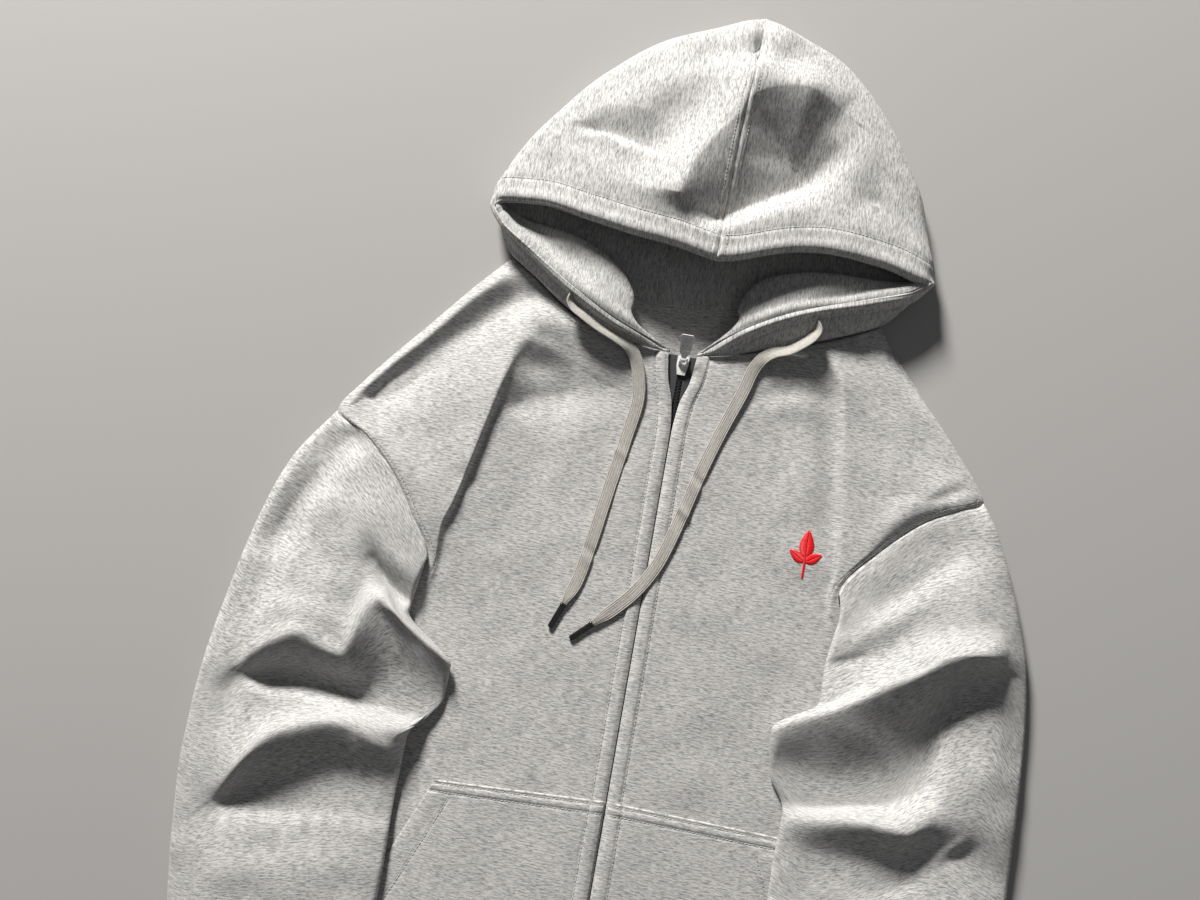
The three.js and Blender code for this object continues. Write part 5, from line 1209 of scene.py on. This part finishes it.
def hood(name, table, neck, sign):
    H = hood_table(table, neck, sign)
    G, qu, qv = loft(H, 2.6, 2.6, fine_u={0: 1.2, 1: 1.2, 2: 1.4, 3: 1.6}, fine_v={9: 1.7})
    upper = np.clip((qv - 4.6) / 1.6, 0, 1)[None] * np.ones((len(qu), 1))
    sag(G, upper)
    G[..., 2] += hood_shape(G) * upper
    G[..., 2] += waves(G, 51, 65, 0.5) * upper
    dr = run(G, 0)                       # from the rim
    s = run(G, 1)
    dcs = s[:, -1:] - s                  # from the centre seam
    side = sign
    N = normals(G) * (-sign)
    low = (qv[None] < 0.5) * np.ones((len(qu), 1))
    # rim casing: the edge is rolled and full, with a row of stitching behind it
    full = 1.5 * np.exp(-(((dr - 4.5) / 5.0) ** 2)) - 1.1 * np.exp(-((dr / 1.6) ** 2))
    case = 0.5 * np.clip((21 - dr) / 5, 0, 1) * np.clip(dr / 8, 0, 1)
    off = full + case + groove(dr, 19, 0.35, 2.0)
    off *= np.clip((s - 3) / 6, 0, 1)
    # centre seam: both halves go down to it, with stitching to each side
    seam = 0.5 * np.exp(-(((dcs - 3.2) / 2.6) ** 2)) - 0.85 * np.exp(-((dcs / 1.0) ** 2)) + groove(dcs, 5.2, 0.4, 0.8)
    seam *= (upper > 0.3)
    off = off + seam * np.clip(dr / 4, 0, 1)
    N[..., 0] *= 1 - np.exp(-((dcs / 5.0) ** 2))
    # neck seam
    off -= 1.2 * np.exp(-((s / 2.6) ** 2)) * (qu[:, None] < 7.5)
    G = G + N * off[..., None]
    G[..., 2] = np.maximum(G[..., 2], 0.06)
    cloth = np.stack([G[..., 1] - 0.06 * G[..., 0], G[..., 0] + 500, G[..., 2] * 0.3 + 90.0 + 9 * sign], -1)
    o = shell(name + "_cloth", G, 2.0, -sign, FLEECE, cloth)
    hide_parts(name)
    N = normals(G) * (-sign)
    line, up = line_at(dr, G, N, 19.0, 0)
    c0 = int(np.searchsorted(qv, 0.35))
    stitch("hood", line[c0:], up[c0:])
    keep = np.searchsorted(qu, 12.6)
    line, up = line_at(dcs[:keep, ::-1], G[:keep, ::-1], N[:keep, ::-1], 5.2, 1)
    stitch("hood", line, up)
    return o, G, H


def hood_lining(name, H, cheek, sign, table):
    N = normals(H) * (-sign)
    last_r, last_c = H.shape[0] - 1, H.shape[1] - 1
    for r in range(H.shape[0]):
        for c in range(H.shape[1]):
            if r == last_r or c == last_c:
                v = np.array([0, N[r, c, 1], N[r, c, 2]])
                N[r, c] = v / (np.linalg.norm(v) + 1e-9)
    near = H - N * 2.3
    keyed = []
    for r in HOOD_AT:
        row = near[r].copy()
        for c, p in enumerate(cheek.get(r, [])):
            row[c] = p
        keyed.append(row)
    grid = hood_table(keyed, None, sign)
    out = grid.copy()
    for r in range(H.shape[0]):
        for c in range(H.shape[1]):
            if r > 8 or c > 5:
                out[r, c] = near[r, c]
            if c == last_c or r == last_r:
                out[r, c, 0] = H[r, c, 0] + sign * 0.2
            if r < 6 and c == 0:
                out[r, c, 1] += 1.2
                out[r, c, 2] = min(out[r, c, 2], H[r, 0, 2] - 2.6)
    G, qu, qv = loft(out, 3.6, 3.6, fine_u={0: 1.4, 1: 1.5, 2: 2.2})
    upper = np.clip((qv - 4.6) / 1.6, 0, 1)[None] * np.ones((len(qu), 1))
    sag(G, upper)
    G[..., 2] += hood_shape(G) * upper
    G[..., 2] += waves(G, 51, 65, 0.5) * upper
    for h, w, ln in LINING_FOLDS[sign]:
        G[..., 2] += crease(G, h, w, ln) * (qv < 4.6)
    dr = run(G, 0)
    s = run(G, 1)
    N = normals(G) * (-sign)
    # the facing's edge stands in from the rim
    off = -(1.6 * np.exp(-(((dr - 4.0) / 4.5) ** 2)) - 0.8 * np.exp(-((dr / 1.6) ** 2)))
    off *= np.clip((s - 6) / 8, 0, 1)
    G = G + N * off[..., None]
    G[..., 2] = np.maximum(G[..., 2], 2.3)
    cloth = np.stack([G[..., 1], G[..., 0] + 900, G[..., 2] * 0.3 + 130.0 + 9 * sign], -1)
    o = shell(name + "_cloth", G, 1.3, -sign, JERSEY, cloth, seen="inside")
    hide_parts(name)
    return o, G


def seam_allowance():
    """The two layers pressed open under the hood's centre seam."""
    keep = [k for k in range(len(GHR)) if GHR[k, -1, 2] > 12]
    A = GHR[keep, -1]
    x = np.array([-4.5, -3, -1.5, 0, 1.5, 3, 4.5])
    G = np.stack([A + np.array([0.3 + v, 0, -1.45 - 0.04 * v * v]) for v in x], 1)
    cl = np.stack([G[..., 1], G[..., 0] + 700, np.full(G.shape[:2], 170.0)], -1)
    o = shell("hood_seam_allowance", G[:, ::-1], 0.8, 1, FLEECE, cl)


LINING_FOLDS = {
    -1: [(-9.0, 13, [[-153, 83, 0.4], [-139, 76, 1], [-108, 57, 1], [-73, 37, 0.2]])],
    1: [(-5.0, 9, [[147, 71, 0.4], [114, 60, 1], [80, 38, 0.2]])],
}
hood_r, GHR, HR = hood("hood_right", HOOD_RIGHT, FR0[::-1], -1)
hood_l, GHL, HL = hood("hood_left", HOOD_LEFT, FL0[::-1], 1)
seam_allowance()
lin_r, GLR = hood_lining("hood_lining_right", HR, CHEEK_RIGHT, -1, HOOD_RIGHT)
lin_l, GLL = hood_lining("hood_lining_left", HL, CHEEK_LEFT, 1, HOOD_LEFT)


# ------------------------------------------------------------------ pockets
def pocket(name, sign, tilt):
    T = np.array([[[sign * lerp(xi, xo, t), y - (tilt * lerp(xi, xo, t) if r == 0 else 0), 0] for t in (1, 0.75, 0.5, 0.25, 0)] for r, (y, xo, xi) in enumerate(POCKET_ROWS)], float)
    G, qu, qv = loft(T, 3.0, 3.0, fine_u={0: 1.0}, fine_v={0: 1.7, 3: 1.7})
    # rounded corner between the top edge and the opening stays as cut
    G[..., 2] = ramp(FRONT_TOP, np.abs(G[..., 0])) + 0.4 + 1.8
    G[..., 2] += front_folds(G, sign) + waves(G, 17 + sign, 60, 0.3)
    dt = run(G, 0)
    s = run(G, 1)
    dz = s[:, -1:] - s
    free = (qu[:, None] > 0.0) & (qu[:, None] < 4.2)
    # twin-needle rows at the top edge, hem of the slanted opening, facing row beside the zip
    G[..., 2] += groove(dt, 1.8, 0.5, 0.8) + groove(dt, 8.2, 0.5, 0.8) + 0.35 * np.exp(-(((dt - 5.0) / 2.2) ** 2))
    slant = np.clip((qu[:, None] - 0.95) / 0.05, 0, 1) * np.clip((4.3 - qu[:, None]) / 0.3, 0, 1)
    G[..., 2] += (groove(s, 17.0, 0.5, 0.8) + 0.5 * np.exp(-(((s - 6) / 6.0) ** 2))) * slant
    G[..., 2] += 0.6 * (1 - 1 / (1 + np.exp(-(dz - 9.4) / 0.7))) + groove(dz, 10.2, 0.7, 1.0)
    G[..., 2] -= 1.3 * np.exp(-((dz / 2.0) ** 2))
    cloth = np.stack([G[..., 0], G[..., 1] + 40, np.full(s.shape, 150.0 + sign)], -1)
    o = shell(name + "_cloth", G, 1.7, sign, FLEECE, cloth)
    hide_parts(name)
    N = normals(G) * sign
    for d in (1.8, 8.2):
        line, up = line_at(dt, G, N, d, 0)
        stitch("pocket", line, up, pitch=2.8, length=2.2)
    k0, k1 = np.searchsorted(qu, [1.0, 4.4])
    line, up = line_at(s[k0:k1], G[k0:k1], N[k0:k1], 17.0, 1)
    stitch("pocket", line, up)
    line, up = line_at(dz[:, ::-1], G[:, ::-1], N[:, ::-1], 10.2, 1)
    stitch("pocket", line[2:], up[2:])
    return o, G


pocket("pocket_right", -1, 0.06)
pocket("pocket_left", 1, 0.02)


# ------------------------------------------------------------------ zip
def zip_parts():
    end = -608.0
    # woven tapes
    for sign, name in ((-1, "zip_tape_right"), (1, "zip_tape_left")):
        y = np.arange(-5.2, end + 0.3, -3.0)
        x = np.array([2.6, 3.4, 4.6, 7, 9, 11, 12.4, 13.2])
        G = np.zeros((len(y), len(x), 3))
        G[..., 0] = sign * x[None]
        G[..., 1] = y[:, None]
        G[..., 2] = 7.5 + np.where(x < 4.2, 0.15, 0.0)[None]
        cl = np.stack([G[..., 0], G[..., 1], G[..., 2]], -1)
        o = shell(name + "_woven", G, 0.9, -sign, TAPE, cl)
        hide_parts(name)
    # interlocked teeth, one each side in turn
    V, F = [], []
    prof = np.array([[-0.55, -0.5], [0.55, -0.5], [0.55, 0.35], [0.3, 0.75], [-0.3, 0.75], [-0.55, 0.35]])
    y = -10.2
    k = 0
    while y > end + 1:
        s = 1 if k % 2 else -1
        b = len(V)
        for x0, grow in ((-1.0, 0.75), (-0.5, 1.0), (2.0, 1.0), (2.35, 0.7)):
            for py, pz in prof:
                V.append([s * x0, y + py * grow, 7.0 + pz * grow * 1.15])
        for r in range(3):
            for c in range(6):
                q = [b + r * 6 + c, b + r * 6 + (c + 1) % 6, b + (r + 1) * 6 + (c + 1) % 6, b + (r + 1) * 6 + c]
                F.append(q if s > 0 else q[::-1])
        cap = [b + c for c in range(6)]
        cap2 = [b + 18 + c for c in range(6)]
        F.append(cap[::-1] if s > 0 else cap)
        F.append(cap2 if s > 0 else cap2[::-1])
        y -= 1.3
        k += 1
    o = mesh_from("zip_teeth_row", np.array(V), F, TEETH, smooth=False)
    fix_winding(o)
    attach(o, "garment")
    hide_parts("zip_teeth")


zip_parts()
for n, mat, width in (("zip_slider", NICKEL, 0.00045), ("zip_pull", NICKEL, 0.0003)):
    ob = NODES[n]
    ob.data.materials.clear()
    ob.data.materials.append(mat)
    bv = ob.modifiers.new("soft_edges", "BEVEL")
    bv.width, bv.segments, bv.limit_method, bv.angle_limit = width, 3, "ANGLE", np.radians(38)
    bv.harden_normals = False
    for p in ob.data.polygons:
        p.use_smooth = True
    wn = ob.modifiers.new("even", "WEIGHTED_NORMAL")
    wn.keep_sharp = True


# ------------------------------------------------------------------ drawcords
def cord_frames(table, step=1.1):
    T = np.array(table, float)
    q = steps_for(T[:, None, :3], step)
    P = sample(T, q)
    c = P[:, :3]
    roll = np.radians(P[:, 3])
    t = np.gradient(c, axis=0)
    t /= np.linalg.norm(t, axis=1, keepdims=True)
    flat = np.stack([t[:, 1], -t[:, 0], np.zeros(len(t))], 1)
    flat /= np.linalg.norm(flat, axis=1, keepdims=True) + 1e-9
    up = np.cross(flat, t)
    co, si = np.cos(roll)[:, None], np.sin(roll)[:, None]
    w = flat * co + up * si
    h = up * co - flat * si
    return c, t, w, h


def flat_cord(name, table, tip, cord_id, pinch, lead, kinks):
    # its hidden end goes down through the slit in the casing
    c, t, w, h = cord_frames(lead + table)
    n = 72
    a = np.linspace(0, 2 * np.pi, n, endpoint=False)
    # a flat braid: rounded edges, fine ridges along both faces
    x = np.sign(np.cos(a)) * np.abs(np.cos(a)) ** 0.72
    z = np.sign(np.sin(a)) * np.abs(np.sin(a)) ** 0.45
    ridge = 0.17 * np.cos(x * np.pi * 7.0)
    d = np.concatenate([[0], np.cumsum(np.linalg.norm(np.diff(c, axis=0), axis=1))])
    # the end is pressed narrow into its tip
    end = d[-1] - d
    wide = 1 - 0.52 * np.exp(-((end / pinch) ** 2))
    thick = 1 + 0.75 * np.exp(-((end / (pinch * 0.8)) ** 2))
    P = (c[:, None] + w[:, None] * (x * 4.95)[None, :, None] * wide[:, None, None]
         + h[:, None] * ((z * 0.78 + np.sign(z) * ridge * (np.abs(z) > 0.5))[None, :, None]) * thick[:, None, None])
    # where it was folded once
    for at, deep in kinks:
        P += h[:, None] * (deep * np.exp(-(((d[:, None] - at + x[None] * 2.0) / 3.2) ** 2)) - 0.5 * deep * np.exp(-(((d[:, None] - at - 7.0 + x[None] * 2.0) / 5.0) ** 2)))[..., None]
    # slow waver of the two edges
    P += h[:, None] * (0.16 * np.sin(d[:, None] / 9.0 + x[None] * 2.2))[..., None]
    R = len(c)
    idx = np.arange(R * n).reshape(R, n)
    nx = np.roll(idx, -1, 1)
    q = np.stack([idx[:-1], nx[:-1], nx[1:], idx[1:]], -1).reshape(-1, 4)
    pts = P.reshape(-1, 3)
    faces = [list(f) for f in q] + [list(idx[0][::-1]), list(idx[-1])]
    cl = np.stack([np.broadcast_to(x * 5 + 20 * cord_id, (R, n)), np.broadcast_to(d[:, None], (R, n)), np.broadcast_to(z * 0.8, (R, n))], -1)
    o = mesh_from(name + "_braid", pts, faces, BRAID, cl.reshape(-1, 3))
    fix_winding(o)
    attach(o, "garment")
    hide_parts(name)
    tip_o = aglet(tip, c[-2], c[-1])
    keep = list(range(0, R, 2))
    if keep[-1] != R - 1:
        keep.append(R - 1)
    length = float(d[-1]) / 1000
    return o, length


def aglet(name, a, b):
    t = (b - a) / np.linalg.norm(b - a)
    t[2] = 0
    t /= np.linalg.norm(t)
    side = np.array([t[1], -t[0], 0])
    up = np.cross(side, t)
    base = b + t * 0.4
    n = 24
    ang = np.linspace(0, 2 * np.pi, n, endpoint=False)
    rows = []
    for y, k in ((-0.2, 0.80), (0.0, 0.98), (0.35, 1.06), (1.1, 1.06), (1.45, 0.97), (1.8, 0.92), (2.6, 0.94), (10, 0.94), (18.3, 0.94), (19.1, 0.90), (19.6, 0.80), (19.9, 0.62), (20.0, 0.4)):
        wx, wz = 2.35 * k, 1.45 * k
        rows.append(base + t * y + side * (wx * np.cos(ang))[:, None] + up * (wz * np.sin(ang))[:, None])
    P = np.array(rows)
    R = len(rows)
    idx = np.arange(R * n).reshape(R, n)
    nx = np.roll(idx, -1, 1)
    faces = [list(f) for f in np.stack([idx[:-1], nx[:-1], nx[1:], idx[1:]], -1).reshape(-1, 4)] + [list(idx[0][::-1]), list(idx[-1])]
    o = mesh_from(name + "_metal", P.reshape(-1, 3), faces, AGLET)
    fix_winding(o)
    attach(o, "garment")
    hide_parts(name)
    return o


CORD_LENGTHS = {}
_, CORD_LENGTHS["right"] = flat_cord("drawcord_right", CORD_RIGHT, "cord_tip_right", 1, 9.0, [[-91.5, 25.0, 23.4, 62], [-92.5, 19.0, 24.9, 52]], [(150, 0.5), (228, -0.7)])
_, CORD_LENGTHS["left"] = flat_cord("drawcord_left", CORD_LEFT, "cord_tip_left", 2, 9.0, [[93.0, 35.0, 22.6, -60], [95.6, 28.6, 24.0, -50]], [(161, -0.8), (188, 0.9), (268, -0.6)])
print("cord lengths", CORD_LENGTHS)


# ------------------------------------------------------------------ stitches and the embroidered motif
for group, mat in (("front", THREAD), ("hood", THREAD), ("pocket", THREAD)):
    o = capsules("stitches_" + group, STITCHES.get(group, []), 0.33, mat)


def motif(cx, cy, z):
    """A small sprig: three leaves over a short stem, in satin stitch."""
    segs = []
    up = np.array([0, 0, 1.0])

    def leaf(x, y, turn, length, width):
        c, s = np.cos(np.radians(turn)), np.sin(np.radians(turn))
        for k in np.arange(0, length, 0.52):
            u = k / length
            w = width * np.sin(np.pi * min(1, u * 0.98 + 0.01)) ** 0.75 * (1 - 0.25 * u)
            for side in (-1, 1):
                # each half leans back towards the stem
                p0 = np.array([k + 0.0, 0.12 * side])
                p1 = np.array([k - 0.35 * w, side * w])
                if p1[1] * side < 0.4:
                    continue
                q0 = [x + c * p0[0] - s * p0[1], y + s * p0[0] + c * p0[1], z + 0.55]
                q1 = [x + c * p1[0] - s * p1[1], y + s * p1[0] + c * p1[1], z + 0.1]
                segs.append((np.array(q0), np.array(q1), up))

    leaf(cx, cy - 2, 90, 20, 6.4)
    leaf(cx - 0.8, cy - 6, 148, 13.5, 4.4)
    leaf(cx + 0.8, cy - 6, 32, 13.5, 4.4)
    for k in np.arange(0, 15.5, 0.5):
        w = 1.05 - 0.2 * k / 15
        segs.append((np.array([cx - w, cy - 3 - k + 0.2, z + 0.3]), np.array([cx + w, cy - 3 - k - 0.2, z + 0.3]), up))
    return segs


def on_front(G, x, y):
    d = (G[..., 0] - x) ** 2 + (G[..., 1] - y) ** 2
    return float(G[..., 2].ravel()[np.argmin(d)])


segs = motif(115.5, -139.0, 0.0)
segs = [(a + [0, 0, on_front(GFL, a[0], a[1])], b + [0, 0, on_front(GFL, b[0], b[1])], u) for a, b, u in segs]
o = capsules("chest_embroidery", segs, 0.36, RED, squash=0.8)


# ------------------------------------------------------------------ floor and light
def floor():
    me = bpy.data.meshes.new("floor")
    s = 3.0
    me.from_pydata([(-s, -s, 0), (s, -s, 0), (s, s, 0), (-s, s, 0)], [], [(0, 1, 2, 3)])
    m, nt, bsdf = tree_of("pale_floor")
    bsdf.inputs["Base Color"].default_value = (0.38, 0.372, 0.362, 1)
    bsdf.inputs["Roughness"].default_value = 0.9
    me.materials.append(m)
    o = bpy.data.objects.new("floor", me)
    o.location = (0, 0, -0.0002)
    bpy.context.scene.collection.objects.link(o)


floor()


def area(name, at, target, size, power, colour=(1, 1, 1)):
    L = bpy.data.lights.new(name, "AREA")
    L.shape, L.size, L.energy, L.color = "DISK", size, power, colour
    o = bpy.data.objects.new(name, L)
    bpy.context.scene.collection.objects.link(o)
    from mathutils import Vector
    d = Vector(target) - Vector(at)
    o.location = at
    o.rotation_euler = d.to_track_quat("-Z", "Y").to_euler()
    return o


area("key", (-1.46, 3.05, 1.58), (0.0, 0.0, 0.0), 0.80, 305.0, (1.0, 0.98, 0.955))
area("fill", (0.9, -0.5, 1.6), (0.0, 0.0, 0.0), 1.6, 1.6, (0.96, 0.98, 1.0))
bpy.context.scene.view_settings.view_transform = "Standard"
bpy.context.scene.view_settings.look = "None"
w = bpy.data.worlds.new("studio")
bpy.context.scene.world = w
w.use_nodes = True
w.node_tree.nodes["Background"].inputs[0].default_value = (0.95, 0.97, 1.0, 1)
w.node_tree.nodes["Background"].inputs[1].default_value = 0.085
